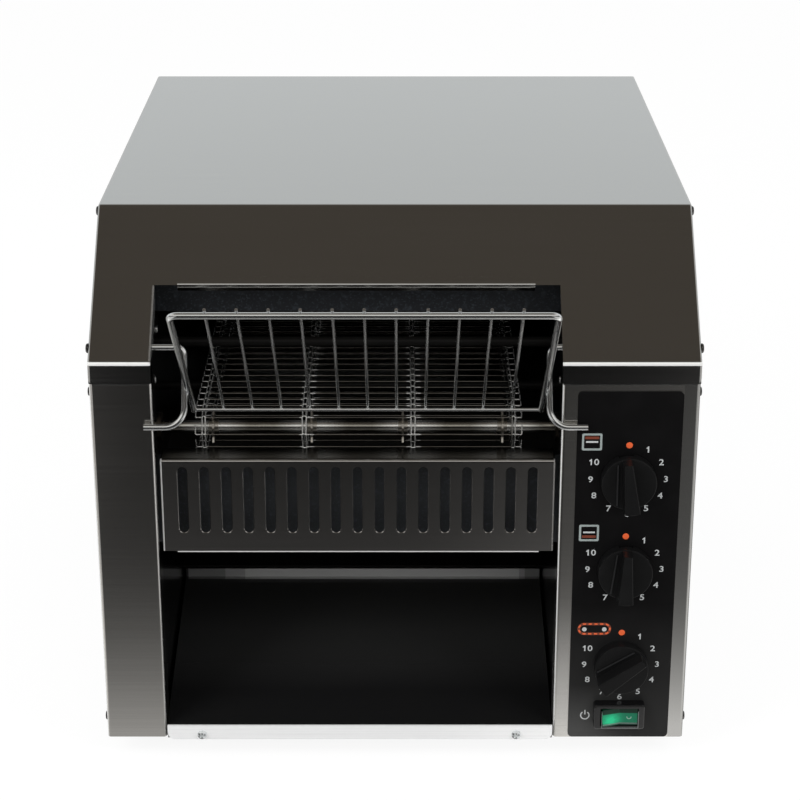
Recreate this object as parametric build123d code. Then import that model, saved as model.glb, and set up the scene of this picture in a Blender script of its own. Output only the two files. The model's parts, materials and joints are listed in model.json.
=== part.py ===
"""Conveyor toaster: folded sheet body, wire belt and its drive, elements, controls and feed rack."""
from build123d import *
from math import atan2, cos, pi, radians, sin, tan
import os

os.makedirs("parts", exist_ok=True)

# Millimetres. While a piece is drawn, X is across with the left end at -X, Y runs back from the
# hood's front edge and Z runs up from the underside of the body. save() moves the finished piece
# so that the origin is on the table under the middle of the whole toaster.
WIDTH = 371.4
DEPTH = 440.0
HEIGHT = 333.75
FOOT_HEIGHT = 14.0
SHEET = 1.2
SIDES = {-1: -185.0, 1: WIDTH - 185.0}

# Hood: front flange that leans out a little at its foot, slant and flat top
FLANGE_BOTTOM = 244.0
FLANGE_LEAN = 0.8
FLANGE_CORNERS = ((-185.0, 1, 4.5), (-147.0, -1, 2.5), (102.3, 1, 1.5), (WIDTH - 185.0, -1, 4.5))
SLANT_START = (0.0, 257.7)
SLANT_END = (81.3, HEIGHT)
CUT_OUT = (-147.0, 102.3)
CUT_OUT_TOP = 294.5
CUT_OUT_TOP_DEPTH = 39.4
RETURN_DEPTH = 10.0
TOP_LIP_DEPTH = 5.0
TOP_LIP_DROP = 0.9
TOP_LIP_BEND = 1.7
TOP_LIP_SPAN = (-133.0, 87.0)
HOOD_BENDS = (3.6, 2.5)
COLUMN_BEND = 1.6

# Front columns, tray and chamber
COLUMN_FACE = SHEET
LEFT_COLUMN = (SIDES[-1], -146.8)
RIGHT_COLUMN = (102.5, SIDES[1])
COLUMN_RETURN = 22.0
INNER_RETURN = 18.0
COLUMN_TOP = 243.8
LEFT_WALL = (-149.4, -148.2)
RIGHT_WALL = (103.5, 104.7)
CHAMBER = (LEFT_WALL[1], RIGHT_WALL[0])
CHAMBER_REAR = 437.0
LIP = (-146.0, 102.0)
LIP_TOP = 9.5
LIP_SCREWS = ((-123.7, 2.9), (78.8, 2.9))
TRAY_FRONT = (3.0, 7.2)
TRAY_BACK = (152.0, 41.4)
TRAY_STRIP_TOP = 47.8
SIDE_SCREWS = ((85.0, 328.5), (11.0, 263.5), (10.0, 236.0), (10.0, 11.0))

# Slotted guard under the feed mouth
GUARD = (-145.0, 100.1)
GUARD_FACE = 10.0
GUARD_HEIGHTS = (128.4, 190.5)
GUARD_FLANGE_BACK = 28.4
SLOT_COUNT = 17
SLOT_FIRST = -131.4
SLOT_PITCH = 13.61
SLOT_WIDTH = 5.8
SLOT_RIM = 0.45
SLOT_HEIGHTS = (140.9, 185.2)

# Wire belt, its shafts and wheels
BELT = (-124.0, 80.0)
BELT_BAYS = 3
BELT_WIRE = 0.8
BELT_PITCH = 10.7
BELT_PITCHES = 30
WRAP_RADIUS = 14.0
FRONT_AXIS = (42.0, 200.0)
REAR_AXIS = (FRONT_AXIS[0] + BELT_PITCH * BELT_PITCHES, FRONT_AXIS[1])
SHAFT_RADIUS = 4.0
SHAFT_CLEARANCE = 0.05
BUSH_RADIUS = 6.0
WHEELS = (-113.4, -51.6, 5.6, 68.1)
WHEEL_TEETH = 8
WHEEL_RADII = (8.6, 11.6)
WHEEL_THICKNESS = 1.2
WHEEL_HUB = (4.9, 6.0)

# Heating elements
ELEMENT_RADIUS = 3.25
UPPER_ELEMENTS = tuple((75.0 + 80.0 * row, 245.0) for row in range(4))
LOWER_ELEMENTS = tuple((115.0 + 85.0 * row, 200.0) for row in range(3))
TERMINAL_RADIUS = 1.5
TERMINAL_REACH = 12.0
INSULATOR_RADIUS = 6.5
INSULATOR_LENGTH = 5.0

# Drive in the service bay
CHAIN_X = 110.5
MOTOR_AXIS = (300.0, 112.0)
CHAIN_PITCH = 8.0
SPROCKET_TEETH = {"motor": 12, "drive": 15}
SPROCKET_THICKNESS = 2.4
CHAIN_PLATE = 1.2
BRACKET_X = (120.0, 122.0)

# Controls on the right column
OVERLAY_X = (112.1, 176.5)
OVERLAY_Z = (0.5, 239.3)
OVERLAY_THICKNESS = 0.8
KNOB_X = 144.4
KNOBS = {"upper_heat": (181.4, -6.4), "lower_heat": (120.1, 1.1), "belt_speed": (53.0, 53.0)}
KNOB_RADIUS = 17.0
KNOB_DISC = 8.0
KNOB_TROUGH = (3.0, 4.5, 7.6)
KNOB_RIB = (1.3, 0.7)
KNOB_REACH = 18.0
KNOB_GAP = 0.3
SPINDLE_RADIUS = 3.0
SWITCH_CENTRE = (144.3, 18.45)
SWITCH_BEZEL = (32.6, 17.5)
SWITCH_PROUD = 7.0
SWITCH_OPENING = (24.5, 12.6)
ROCKER_TILT = 7.0
ROCKER_DEPTH = 3.0
ROCKER_PIN = 1.2

# Feed rack
RACK_CENTRE = -16.2
RACK_HALF = (109.5, 107.8)
RACK_HANGER = 111.2
RACK_TOP = (-78.0, 315.0)
RACK_BOTTOM = (25.0, 218.0)
RACK_PIVOT = (14.0, 263.0)
RACK_EAR = (-1.9, 217.0)
EAR_TIPS = (-152.3, 118.3)
RACK_ROD = 2.0
LOWER_BAR = 1.2
GRID_WIRE = 1.0
GRID_COUNT = 11
GRID_PITCH = 17.9
RACK_BEND = 4.5
HANGER_BENDS = (5.0, 12.0)

# Rear fittings
GLAND = (150.0, 40.0)
GLAND_RADIUS = 4.5
REAR_REACH = 12.0
FAN = (144.0, 118.0)
FAN_SIZE = 60.0
FAN_DEPTH = 15.0
FOOT_RADIUS = 14.0
FEET = [(x, y) for x in (-166.0, 166.0) for y in (50.0, 400.0)]

RACK_REACH = RACK_ROD - RACK_TOP[0]
MIDDLE_Y = (DEPTH + REAR_REACH - RACK_REACH) / 2


def save(name, shape):
    """Write one node with the origin under the middle of the toaster."""
    export_step(Pos(0, -MIDDLE_Y, FOOT_HEIGHT) * shape, f"parts/{name}.step")


# ------------------------------------------------------------------ shared shapes
def block(x, y, z):
    """Box between two limits on each axis."""
    size = [high - low for low, high in (x, y, z)]
    centre = [(high + low) / 2 for low, high in (x, y, z)]
    return Pos(*centre) * Box(*size)


def side_prism(outline, x):
    """Prism whose (Y, Z) outline runs between two X limits."""
    face = Plane.YZ * make_face(Polyline(*outline, close=True))
    return Pos(x[0], 0, 0) * extrude(face, x[1] - x[0], dir=(1, 0, 0))


def side_strip(path, bend, x, thickness=SHEET):
    """Folded sheet whose (Y, Z) centre line runs between two X limits."""
    line = FilletPolyline(*path, radius=bend) if len(path) > 2 else Line(*path)
    face = Plane.YZ * trace(line, thickness)
    return Pos(x[0], 0, 0) * extrude(face, x[1] - x[0], dir=(1, 0, 0))


def rod(start, end, radius):
    """Round bar between two points."""
    start, end = Vector(*start), Vector(*end)
    return extrude(Plane(origin=start, z_dir=end - start) * Circle(radius), (end - start).length)


def cross_rod(x, centre, radius):
    """Round bar along X through a (Y, Z) centre."""
    return rod((x[0], *centre), (x[1], *centre), radius)


def bent_wire(points, bends, radius):
    """Round wire along straight runs, with one bend radius for each corner."""
    points = [Vector(*point) for point in points]
    runs, last = [], points[0]
    for before, corner, after, bend in zip(points, points[1:], points[2:], bends):
        back, ahead = (before - corner).normalized(), (after - corner).normalized()
        half = radians(back.get_angle(ahead)) / 2
        start, end = corner + back * (bend / tan(half)), corner + ahead * (bend / tan(half))
        middle = corner + (back + ahead).normalized() * (bend / sin(half) - bend)
        runs += [Line(last, start), ThreePointArc(start, middle, end)]
        last = end
    path = Wire([run.edge() for run in runs + [Line(last, points[-1])]])
    return sweep(Plane(origin=path @ 0, z_dir=path % 0) * Circle(radius), path)


def toothed_face(teeth, root, tip):
    """Flat toothed disc with straight-sided teeth."""
    points = []
    for tooth in range(teeth):
        middle = 2 * pi * tooth / teeth
        for offset, radius in ((-0.30, root), (-0.12, tip), (0.12, tip), (0.30, root)):
            angle = middle + offset * 2 * pi / teeth
            points.append((radius * cos(angle), radius * sin(angle)))
    return make_face(Polyline(*points, close=True))


def pan_screw(head_radius=3.0, shank_radius=1.5, length=6.0):
    """Pan-head screw along Z with its seat at zero and its head above."""
    head = Pos(0, 0, 0.9) * Cylinder(head_radius, 1.8)
    head = fillet(head.edges().group_by(Axis.Z)[-1], 1.2)
    recess = Pos(0, 0, 1.4) * (Box(3.5, 1.0, 1.2) + Box(1.0, 3.5, 1.2))
    return head + Pos(0, 0, -length / 2) * Cylinder(shank_radius, length) - recess


def screws_at(places, outward, **sizes):
    """Group of pan-head screws whose heads point outward."""
    screw = pan_screw(**sizes)
    return Compound([Plane(origin=place, z_dir=outward).location * screw for place in places])


def holes_x(places, x, radius=1.6):
    """Cutters along X for screws at (Y, Z) places."""
    return [cross_rod(x, place, radius) for place in places]


def inset(outline, distance):
    """Offset an open (Y, Z) line to its lower right side by a distance."""
    result = []
    for index, (y, z) in enumerate(outline):
        before = outline[max(index - 1, 0)]
        after = outline[min(index + 1, len(outline) - 1)]
        angles = []
        if index > 0:
            angles.append(atan2(z - before[1], y - before[0]))
        if index < len(outline) - 1:
            angles.append(atan2(after[1] - z, after[0] - y))
        middle = sum(angles) / len(angles)
        reach = distance / cos(middle - angles[0])
        result.append((y + reach * sin(middle), z - reach * cos(middle)))
    return result


# ------------------------------------------------------------------ body shell
def hood_line():
    """Side view of the hood's outer face, from the front flange to the back."""
    return [(-FLANGE_LEAN, FLANGE_BOTTOM), SLANT_START, SLANT_END, (DEPTH - SHEET, HEIGHT)]


def flange_corner(x, inward, radius):
    """Cutter that rounds one lower corner of the front flange."""
    square = block(sorted((x - inward, x + inward * radius)), (-4, SHEET + 0.2), (FLANGE_BOTTOM - 1, FLANGE_BOTTOM + radius))
    centre = (x + inward * radius, FLANGE_BOTTOM + radius)
    return square - rod((centre[0], -5, centre[1]), (centre[0], 5, centre[1]), radius)


def hood_returns():
    """Flanges folded inwards round the feed opening."""
    along = atan2(SLANT_END[1] - SLANT_START[1], SLANT_END[0] - SLANT_START[0])
    inner = inset([SLANT_START, (CUT_OUT_TOP_DEPTH, CUT_OUT_TOP)], RETURN_DEPTH)
    sides = [SLANT_START, (CUT_OUT_TOP_DEPTH, CUT_OUT_TOP), inner[1], inner[0]]
    left = side_prism(sides, (CUT_OUT[0] - SHEET, CUT_OUT[0]))
    right = side_prism(sides, (CUT_OUT[1], CUT_OUT[1] + SHEET))
    up, inwards = Vector(cos(along), sin(along)), Vector(sin(along), -cos(along))
    corner = Vector(CUT_OUT_TOP_DEPTH, CUT_OUT_TOP) + (up + inwards) * (SHEET / 2) - up * TOP_LIP_DROP
    path = [corner + up * 10, corner, corner + inwards * TOP_LIP_DEPTH]
    lip = side_strip([(point.X, point.Y) for point in path], TOP_LIP_BEND, TOP_LIP_SPAN)
    rounding = left.edges().filter_by(Axis.X).sort_by(Axis.Z)[0]
    return fillet(rounding, 4) + fillet(right.edges().filter_by(Axis.X).sort_by(Axis.Z)[0], 4) + lip


def hood():
    line = hood_line()
    outer = side_prism(line + [(DEPTH - SHEET, FLANGE_BOTTOM)], (SIDES[-1], SIDES[1]))
    ridges = outer.edges().filter_by(Axis.X).filter_by(lambda edge: edge.center().Z > 250)
    ridges = [edge for edge in ridges if edge.center().Y < 100]
    for ridge, radius in zip(sorted(ridges, key=lambda edge: edge.center().Z), HOOD_BENDS):
        edge = outer.edges().filter_by(Axis.X).sort_by_distance(ridge.center())[0]
        outer = fillet(edge, radius)
    rims = [e for e in outer.edges() if min(abs(e.center().X - x) for x in SIDES.values()) < 0.1
            and e.center().Z > 250 and e.center().Y < DEPTH - 10]
    outer = fillet(rims, 1.4)
    low, high = FLANGE_BOTTOM - 5, DEPTH + 5
    foot = -FLANGE_LEAN * (SLANT_START[1] - low) / (SLANT_START[1] - FLANGE_BOTTOM)
    inner = inset([(foot, low)] + line[1:3] + [(high, HEIGHT)], SHEET)
    shell = outer - side_prism(inner + [(high, low)], (SIDES[-1] + SHEET, SIDES[1] - SHEET))
    shell -= block(CUT_OUT, (-5, CUT_OUT_TOP_DEPTH + 2), (low, CUT_OUT_TOP))
    shell -= block(TOP_LIP_SPAN, (-5, CUT_OUT_TOP_DEPTH + 8), (low, CUT_OUT_TOP + 4))
    shell += hood_returns()
    shell -= [flange_corner(*corner) for corner in FLANGE_CORNERS]
    shell -= cross_rod((CUT_OUT[0] - 2, CUT_OUT[0] + 1), RACK_PIVOT, RACK_ROD + SHAFT_CLEARANCE)
    shell -= cross_rod((CUT_OUT[1] - 1, CUT_OUT[1] + 2), RACK_PIVOT, RACK_ROD + SHAFT_CLEARANCE)
    return shell - holes_x(SIDE_SCREWS[:2], (SIDES[-1] - 1, SIDES[1] + 1))


def column(x, outer_side):
    """Front column: face, short inner return and deeper outer return under the side screws."""
    left, right = x
    outer_depth, inner_depth = COLUMN_FACE + COLUMN_RETURN, COLUMN_FACE + INNER_RETURN
    depths = (outer_depth, inner_depth) if outer_side < 0 else (inner_depth, outer_depth)
    half = SHEET / 2
    path = [(left + half, depths[0]), (left + half, COLUMN_FACE + half),
            (right - half, COLUMN_FACE + half), (right - half, depths[1])]
    profile = trace(FilletPolyline(*path, radius=COLUMN_BEND), SHEET)
    tongue = block((left + 1.6, right - 1.6), (COLUMN_FACE, COLUMN_FACE + SHEET), (COLUMN_TOP, 256.0))
    over_base = block((SIDES[-1] + SHEET, SIDES[1] - SHEET), (COLUMN_FACE + 2 * SHEET, 40), (-1, SHEET))
    piece = extrude(profile, COLUMN_TOP, dir=(0, 0, 1)) + tongue - over_base
    face = SIDES[outer_side]
    return piece - holes_x(SIDE_SCREWS[2:], sorted((face + outer_side, face - outer_side * 3)))


def right_column():
    piece = column(RIGHT_COLUMN, 1)
    for height, _ in KNOBS.values():
        piece -= rod((KNOB_X, 0, height), (KNOB_X, 10, height), SPINDLE_RADIUS + 1)
    return piece - switch_cutter(-5)


def side_panel(side):
    """Outer side sheet with the inner ledge that the hood and the column are screwed to."""
    face = SIDES[side]
    outer = sorted((face, face - side * SHEET))
    inner = sorted((face - side * SHEET, face - side * 2 * SHEET))
    panel = block(outer, (COLUMN_FACE + COLUMN_RETURN + 0.4, DEPTH - SHEET), (0, COLUMN_TOP))
    line = inset([(0.0, FLANGE_BOTTOM), SLANT_START, SLANT_END, (DEPTH, HEIGHT)], SHEET + 0.4)
    ledge = [(4.0, 3.0), (4.0, 257.0), line[1], line[2], (426.0, line[2][1]), (426.0, 230.0),
             (36.0, 230.0), (36.0, 3.0)]
    ledge[2] = (4.0 + 0.6, line[1][1] + 2.0)
    return panel + side_prism(ledge, inner) - holes_x(SIDE_SCREWS, (face - side * 3, face + side))


def base_plate():
    plate = block((SIDES[-1] + SHEET, SIDES[1] - SHEET), (COLUMN_FACE + 2 * SHEET, DEPTH - SHEET), (0, SHEET))
    flange = block(LIP, (0.2, 0.2 + SHEET), (0, 8.4))
    web = block(LIP, (0.2, COLUMN_FACE + 2 * SHEET), (0, SHEET))
    slot = extrude(SlotOverall(56, 5), 5, both=True)
    piece = plate + flange + web - [Pos(144, 260, 0) * place * slot for place in GridLocations(0, 14, 1, 8)]
    piece -= [rod((x, -1, z), (x, 3, z), 1.6) for x, z in LIP_SCREWS]
    return piece - [rod((x, y, -1), (x, y, 3), 2.1) for x, y in FEET]


def front_lip():
    lip = block(LIP, (0.2 - SHEET, 0.2), (-0.6, LIP_TOP))
    corners = lip.edges().filter_by(Axis.Y).group_by(Axis.Z)[0]
    lip = fillet(corners, 5)
    return lip - [rod((x, -2, z), (x, 2, z), 1.6) for x, z in LIP_SCREWS]


def rear_panel():
    panel = block((SIDES[-1], SIDES[1]), (DEPTH - SHEET, DEPTH), (0, HEIGHT))
    panel = fillet(panel.edges().filter_by(Axis.Y), 1.4)
    panel += block((CHAMBER[0] + 2, CHAMBER[1] - 2), (DEPTH - 14, DEPTH - SHEET), (HEIGHT - 3.2, HEIGHT - 2.0))
    for middle, layout, length in (((FAN[0], DEPTH, FAN[1]), GridLocations(0, 9, 1, 6), 46),
                                   ((-40, DEPTH, 250), GridLocations(90, 12, 2, 12), 76)):
        slot = extrude(SlotOverall(length, 4), 5, both=True)
        panel -= [Pos(*middle) * Rot(90, 0, 0) * place * slot for place in layout]
    panel -= [rod((x, DEPTH - 3, z), (x, DEPTH + 1, z), 1.6) for x, z in REAR_SCREWS]
    return panel - rod((GLAND[0], DEPTH - 3, GLAND[1]), (GLAND[0], DEPTH + 1, GLAND[1]), 8.1)


REAR_SCREWS = [(x, z) for x in (-174.0, 174.0) for z in (14.0, 170.0, 318.0)]


# ------------------------------------------------------------------ chamber sheets
def chamber_wall(x, outward):
    """Side wall of the toasting chamber with holes for shafts, elements and the rack's pins."""
    line = inset([(0.0, FLANGE_BOTTOM), SLANT_START, SLANT_END, (DEPTH, HEIGHT)], SHEET + 0.3)
    outline = [(20.0, SHEET), (20.0, 258.0), (8.0, 258.0), (8.0, line[1][1] + 6.0), line[2],
               (CHAMBER_REAR, line[2][1]), (CHAMBER_REAR, SHEET)]
    foot = block(sorted((x[0] if outward < 0 else x[1], (x[0] if outward < 0 else x[1]) + 10 * outward)),
                 (30, 420), (SHEET, 2 * SHEET))
    piece = side_prism(outline, x) + foot
    span = (x[0] - 1, x[1] + 1)
    piece -= [cross_rod(span, axis, BUSH_RADIUS + 0.05) for axis in (FRONT_AXIS, REAR_AXIS)]
    piece -= [cross_rod(span, place, ELEMENT_RADIUS + 0.2) for place in UPPER_ELEMENTS + LOWER_ELEMENTS]
    return piece - cross_rod(span, RACK_PIVOT, RACK_ROD + 1)


def toast_tray():
    """Polished floor that rises to the back, with a low up-turned strip."""
    path = [TRAY_FRONT, TRAY_BACK, (TRAY_BACK[0], TRAY_STRIP_TOP)]
    return side_strip(path, 1.2, (CHAMBER[0] + 1.6, CHAMBER[1] - 1.6))


def toast_chute():
    """Curved sheet that turns the falling toast forwards, under the belt."""
    return side_strip([(150.0, 50.6), (352.0, 99.0), (425.0, 225.0)], 90, CHAMBER)


def slotted_guard():
    low, high = GUARD_HEIGHTS
    half = SHEET / 2
    path = [(GUARD_FLANGE_BACK, high - half), (GUARD_FACE + half, high - half), (GUARD_FACE + half, low)]
    guard = side_strip(path, 1.4, GUARD)
    guard += block((-136, 91), (GUARD_FACE, GUARD_FACE + 12), (low - SHEET, low))
    guard = fillet([e for e in guard.edges().filter_by(Axis.X) if e.center().Z < low - 1
                    and e.center().Y < GUARD_FACE + 1], 0.9)
    guard = fillet([e for e in guard.edges().filter_by(Axis.Z) if e.center().Y < GUARD_FACE + 0.1
                    and not -140 < e.center().X < 95], 1.0)
    length = SLOT_HEIGHTS[1] - SLOT_HEIGHTS[0]
    slot = extrude(SlotOverall(length, SLOT_WIDTH, 90), 4, both=True)
    slot += loft([Pos(0, 0, -SLOT_RIM) * SlotOverall(length, SLOT_WIDTH, 90),
                  Pos(0, 0, 0.05) * SlotOverall(length + 2 * SLOT_RIM, SLOT_WIDTH + 2 * SLOT_RIM, 90)])
    slot = Rot(90, 0, 0) * slot
    middle = (SLOT_HEIGHTS[0] + SLOT_HEIGHTS[1]) / 2
    return guard - [Pos(SLOT_FIRST + SLOT_PITCH * n, GUARD_FACE, middle) * slot for n in range(SLOT_COUNT)]


def front_heat_shield():
    back = GUARD_FLANGE_BACK
    return block(CHAMBER, (back, back + SHEET), (126.0, 186.0))


def front_baffle():
    return side_strip([(60.6, 270.6), (60.6, 300.0), (90.0, 300.0)], 2, CHAMBER)


def upper_reflector():
    return side_strip([(95.0, 272.0), (424.4, 272.0), (424.4, 232.0)], 4, CHAMBER)


def lower_reflector():
    return side_strip([(31.0, 160.0), (31.0, 168.0), (345.0, 168.0)], 2, CHAMBER)


# ------------------------------------------------------------------ wire belt and shafts
def belt_columns():
    """X places where neighbouring wires of the belt hook into each other."""
    step = (BELT[1] - BELT[0] - 2 * BELT_WIRE) / BELT_BAYS
    return [BELT[0] + BELT_WIRE + step * bay for bay in range(BELT_BAYS + 1)]


def belt_strip(centres):
    """Cross wires at (Y, Z) centres, hooked together at each column."""
    strip = cross_rod(BELT, centres[0], BELT_WIRE)
    for before, after in zip(centres, centres[1:]):
        strip += cross_rod(BELT, after, BELT_WIRE)
        strip += [rod((x, *before), (x, *after), BELT_WIRE * 0.95) for x in belt_columns()]
    return strip


def belt_run(height):
    places = [(FRONT_AXIS[0] + BELT_PITCH * n, FRONT_AXIS[1] + height) for n in range(BELT_PITCHES + 1)]
    return belt_strip(places)


def belt_wrap(axis, angles):
    places = [(axis[0] + WRAP_RADIUS * cos(radians(a)), axis[1] + WRAP_RADIUS * sin(radians(a)))
              for a in angles]
    return belt_strip(places)


def belt_wheels(axis):
    face = toothed_face(WHEEL_TEETH, *WHEEL_RADII) - Circle(SHAFT_RADIUS + 0.02)
    hub = Circle(WHEEL_HUB[0]) - Circle(SHAFT_RADIUS + 0.02)
    wheel = extrude(Plane.YZ * face, WHEEL_THICKNESS / 2, both=True)
    wheel += extrude(Plane.YZ * hub, WHEEL_HUB[1] / 2, both=True)
    return Compound([Pos(x, *axis) * wheel for x in WHEELS])


def shaft_bushes():
    """Flanged bushes that carry both shafts in the chamber walls."""
    sleeve = Circle(BUSH_RADIUS) - Circle(SHAFT_RADIUS + SHAFT_CLEARANCE)
    collar = Circle(9) - Circle(SHAFT_RADIUS + SHAFT_CLEARANCE)
    bush = extrude(Plane.YZ * sleeve, SHEET + 1, dir=(1, 0, 0)) + extrude(Plane.YZ * collar, 2, dir=(-1, 0, 0))
    places = []
    for axis in (FRONT_AXIS, REAR_AXIS):
        places.append(Pos(RIGHT_WALL[0], *axis) * bush)
        places.append(Pos(LEFT_WALL[1], *axis) * Rot(0, 0, 180) * bush)
    return Compound(places)


# ------------------------------------------------------------------ heating
def elements(places):
    """Sheathed heating rods with a thinner terminal pin at each end."""
    result = []
    for place in places:
        body = cross_rod((LEFT_WALL[0] - 8, RIGHT_WALL[1] + 8), place, ELEMENT_RADIUS)
        pins = (LEFT_WALL[0] - 8 - TERMINAL_REACH, RIGHT_WALL[1] + 8 + TERMINAL_REACH)
        result.append(body + cross_rod(pins, place, TERMINAL_RADIUS))
    return Compound(result)


def element_insulators():
    """Ceramic collars outside the walls, one on each end of each rod."""
    ring = Circle(INSULATOR_RADIUS) - Circle(ELEMENT_RADIUS + 0.05)
    collar = extrude(Plane.YZ * ring, INSULATOR_LENGTH, dir=(1, 0, 0))
    starts = (LEFT_WALL[0] - INSULATOR_LENGTH, RIGHT_WALL[1])
    return Compound([Pos(x, *place) * collar for x in starts for place in UPPER_ELEMENTS + LOWER_ELEMENTS])


def busbars():
    """Strips that link the left terminal pins of each bank of elements."""
    x = LEFT_WALL[0] - 8 - TERMINAL_REACH + 3
    strips = []
    for places in (UPPER_ELEMENTS, LOWER_ELEMENTS):
        y, z = (places[0][0] - 8, places[-1][0] + 8), (places[0][1] - 4, places[0][1] + 4)
        strips.append(block((x - 1, x), y, z) - holes_x(places, (x - 3, x + 3), TERMINAL_RADIUS + 0.05))
    return Compound(strips)


# ------------------------------------------------------------------ drive
def pitch_radius(teeth):
    return CHAIN_PITCH / (2 * sin(pi / teeth))


def sprocket(which, axis, hub_side):
    """Thin toothed plate with a hub on one side."""
    radius = pitch_radius(SPROCKET_TEETH[which])
    face = toothed_face(SPROCKET_TEETH[which], radius - 2.2, radius + 2.2) - Circle(SHAFT_RADIUS + 0.02)
    hub = Circle(7.5) - Circle(SHAFT_RADIUS + 0.02)
    plate = extrude(Plane.YZ * face, SPROCKET_THICKNESS / 2, both=True)
    return Pos(CHAIN_X, *axis) * (plate + extrude(Plane.YZ * hub, 5, dir=(hub_side, 0, 0)))


def drive_chain():
    """Two side plates round both sprockets, with rollers on the straight runs."""
    circles = [(MOTOR_AXIS, pitch_radius(SPROCKET_TEETH["motor"])),
               (REAR_AXIS, pitch_radius(SPROCKET_TEETH["drive"]))]
    outer, inner = [make_hull([e for (axis, radius) in circles
                               for e in (Pos(*axis) * Circle(radius + grow)).edges()])
                    for grow in (2.6, -2.6)]
    plate = extrude(Plane.YZ * (outer - inner), CHAIN_PLATE, dir=(1, 0, 0))
    gap = 1.7
    chain = Pos(CHAIN_X + gap, 0, 0) * plate + Pos(CHAIN_X - gap - CHAIN_PLATE, 0, 0) * plate
    (y1, z1), (y2, z2) = MOTOR_AXIS, REAR_AXIS
    lean = atan2(z2 - z1, y2 - y1)
    for side in (1, -1):
        turn = lean + side * pi / 2
        ends = [(a[0] + r * cos(turn), a[1] + r * sin(turn)) for a, r in circles]
        for n in range(4, 11):
            part = n / 14
            place = [ends[0][i] + part * (ends[1][i] - ends[0][i]) for i in (0, 1)]
            chain += cross_rod((CHAIN_X - gap - 0.2, CHAIN_X + gap + 0.2), place, 1.9)
    return chain


def gear_motor():
    gearbox = cross_rod((BRACKET_X[1], BRACKET_X[1] + 24), MOTOR_AXIS, 31)
    motor = cross_rod((BRACKET_X[1] + 24, BRACKET_X[1] + 52), MOTOR_AXIS, 26)
    bore = cross_rod((BRACKET_X[1] - 1, BRACKET_X[1] + 12), MOTOR_AXIS, SHAFT_RADIUS + SHAFT_CLEARANCE)
    return fillet((gearbox + motor).edges().group_by(Axis.X)[-1], 3) - bore


def motor_bracket():
    y, z = MOTOR_AXIS
    plate = block(BRACKET_X, (y - 36, y + 36), (SHEET, z + 36))
    foot = block((BRACKET_X[0], BRACKET_X[0] + 30), (y - 36, y + 36), (SHEET, SHEET + 2))
    return plate + foot - cross_rod((BRACKET_X[0] - 1, BRACKET_X[1] + 1), MOTOR_AXIS, 9)


def fan_frame():
    x, z = FAN
    back, front = DEPTH - SHEET, DEPTH - SHEET - FAN_DEPTH
    frame = block((x - 30, x + 30), (front, back), (z - 30, z + 30))
    frame = fillet(frame.edges().filter_by(Axis.Y), 4)
    frame -= rod((x, front - 1, z), (x, back + 1, z), 27)
    for angle in (45, 135):
        arm = Rot(0, angle, 0) * Box(56, 1.6, 3)
        frame += Pos(x, front + 0.8, z) * arm
    frame += rod((x, front, z), (x, front + 3, z), 11)
    return frame + rod((x, front, z), (x, front + 8, z), 1.5)


def fan_rotor():
    x, z = FAN
    front = DEPTH - SHEET - FAN_DEPTH
    hub = rod((x, front + 3.6, z), (x, front + 12, z), 10)
    for blade in range(7):
        paddle = Pos(16.5, 0, 0) * Rot(35, 0, 0) * Box(15, 1.2, 9)
        hub += Pos(x, front + 8, z) * Rot(0, 360 / 7 * blade, 0) * paddle
    return hub - rod((x, front, z), (x, front + 10, z), 1.5 + SHAFT_CLEARANCE)


# ------------------------------------------------------------------ controls
def control_overlay():
    y = (COLUMN_FACE - OVERLAY_THICKNESS, COLUMN_FACE)
    plate = block(OVERLAY_X, y, OVERLAY_Z)
    plate = fillet(plate.edges().filter_by(Axis.Y), 3)
    for height, _ in KNOBS.values():
        plate -= rod((KNOB_X, -2, height), (KNOB_X, 4, height), SPINDLE_RADIUS + 1)
    return plate - switch_cutter(-5)


def knob_place(height, turn):
    """Place on the knob's back face, with its Y towards the pointer and Z out of the panel."""
    plane = Plane(origin=(KNOB_X, COLUMN_FACE - OVERLAY_THICKNESS - KNOB_GAP, height),
                  x_dir=(1, 0, 0), z_dir=(0, -1, 0))
    return plane.location * Rot(0, 0, -turn)


def knob(height, turn):
    """Round skirt with a trough across it, and in the trough a tapered bar grip, narrow at the pointer end."""
    skirt = Pos(0, 0, KNOB_DISC / 2) * Cylinder(KNOB_RADIUS, KNOB_DISC)
    floor, narrow, wide = KNOB_TROUGH
    far = KNOB_RADIUS + 1
    trough = Polygon((-narrow, far), (narrow, far), (wide, -far), (-wide, -far), align=None)
    skirt -= extrude(Plane.XY.offset(floor) * trough, 20)
    skirt = fillet(skirt.edges().group_by(Axis.Z)[-1], 0.7)
    width, height_over = KNOB_RIB
    for side in (-1, 1):
        near, end = side * (narrow + 0.8), side * (wide + 0.6)
        strip = Polygon((near, 14.2), (near + side * width, 13.9), (end + side * width, -12.9), (end, -13.5),
                        align=None)
        skirt += extrude(Plane.XY.offset(KNOB_DISC - 0.5) * strip, 0.5 + height_over, taper=18)
    reach = KNOB_RADIUS - 0.3
    foot = Plane.XY.offset(floor - 1) * Polygon((-3.4, reach), (3.4, reach), (5.8, -reach), (-5.8, -reach), align=None)
    face = Plane.XY.offset(KNOB_REACH) * Polygon((-2.5, reach), (2.5, reach), (4.8, -reach), (-4.8, -reach), align=None)
    grip = loft([foot, face])
    grip = fillet(grip.edges().group_by(Axis.Z)[-1], 0.7) & Cylinder(KNOB_RADIUS - 0.4, 2 * KNOB_REACH + 2)
    bore = Pos(0, 0, 5) * Cylinder(SPINDLE_RADIUS + 0.02, 10.2)
    return knob_place(height, turn) * (skirt + grip - bore)


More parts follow.
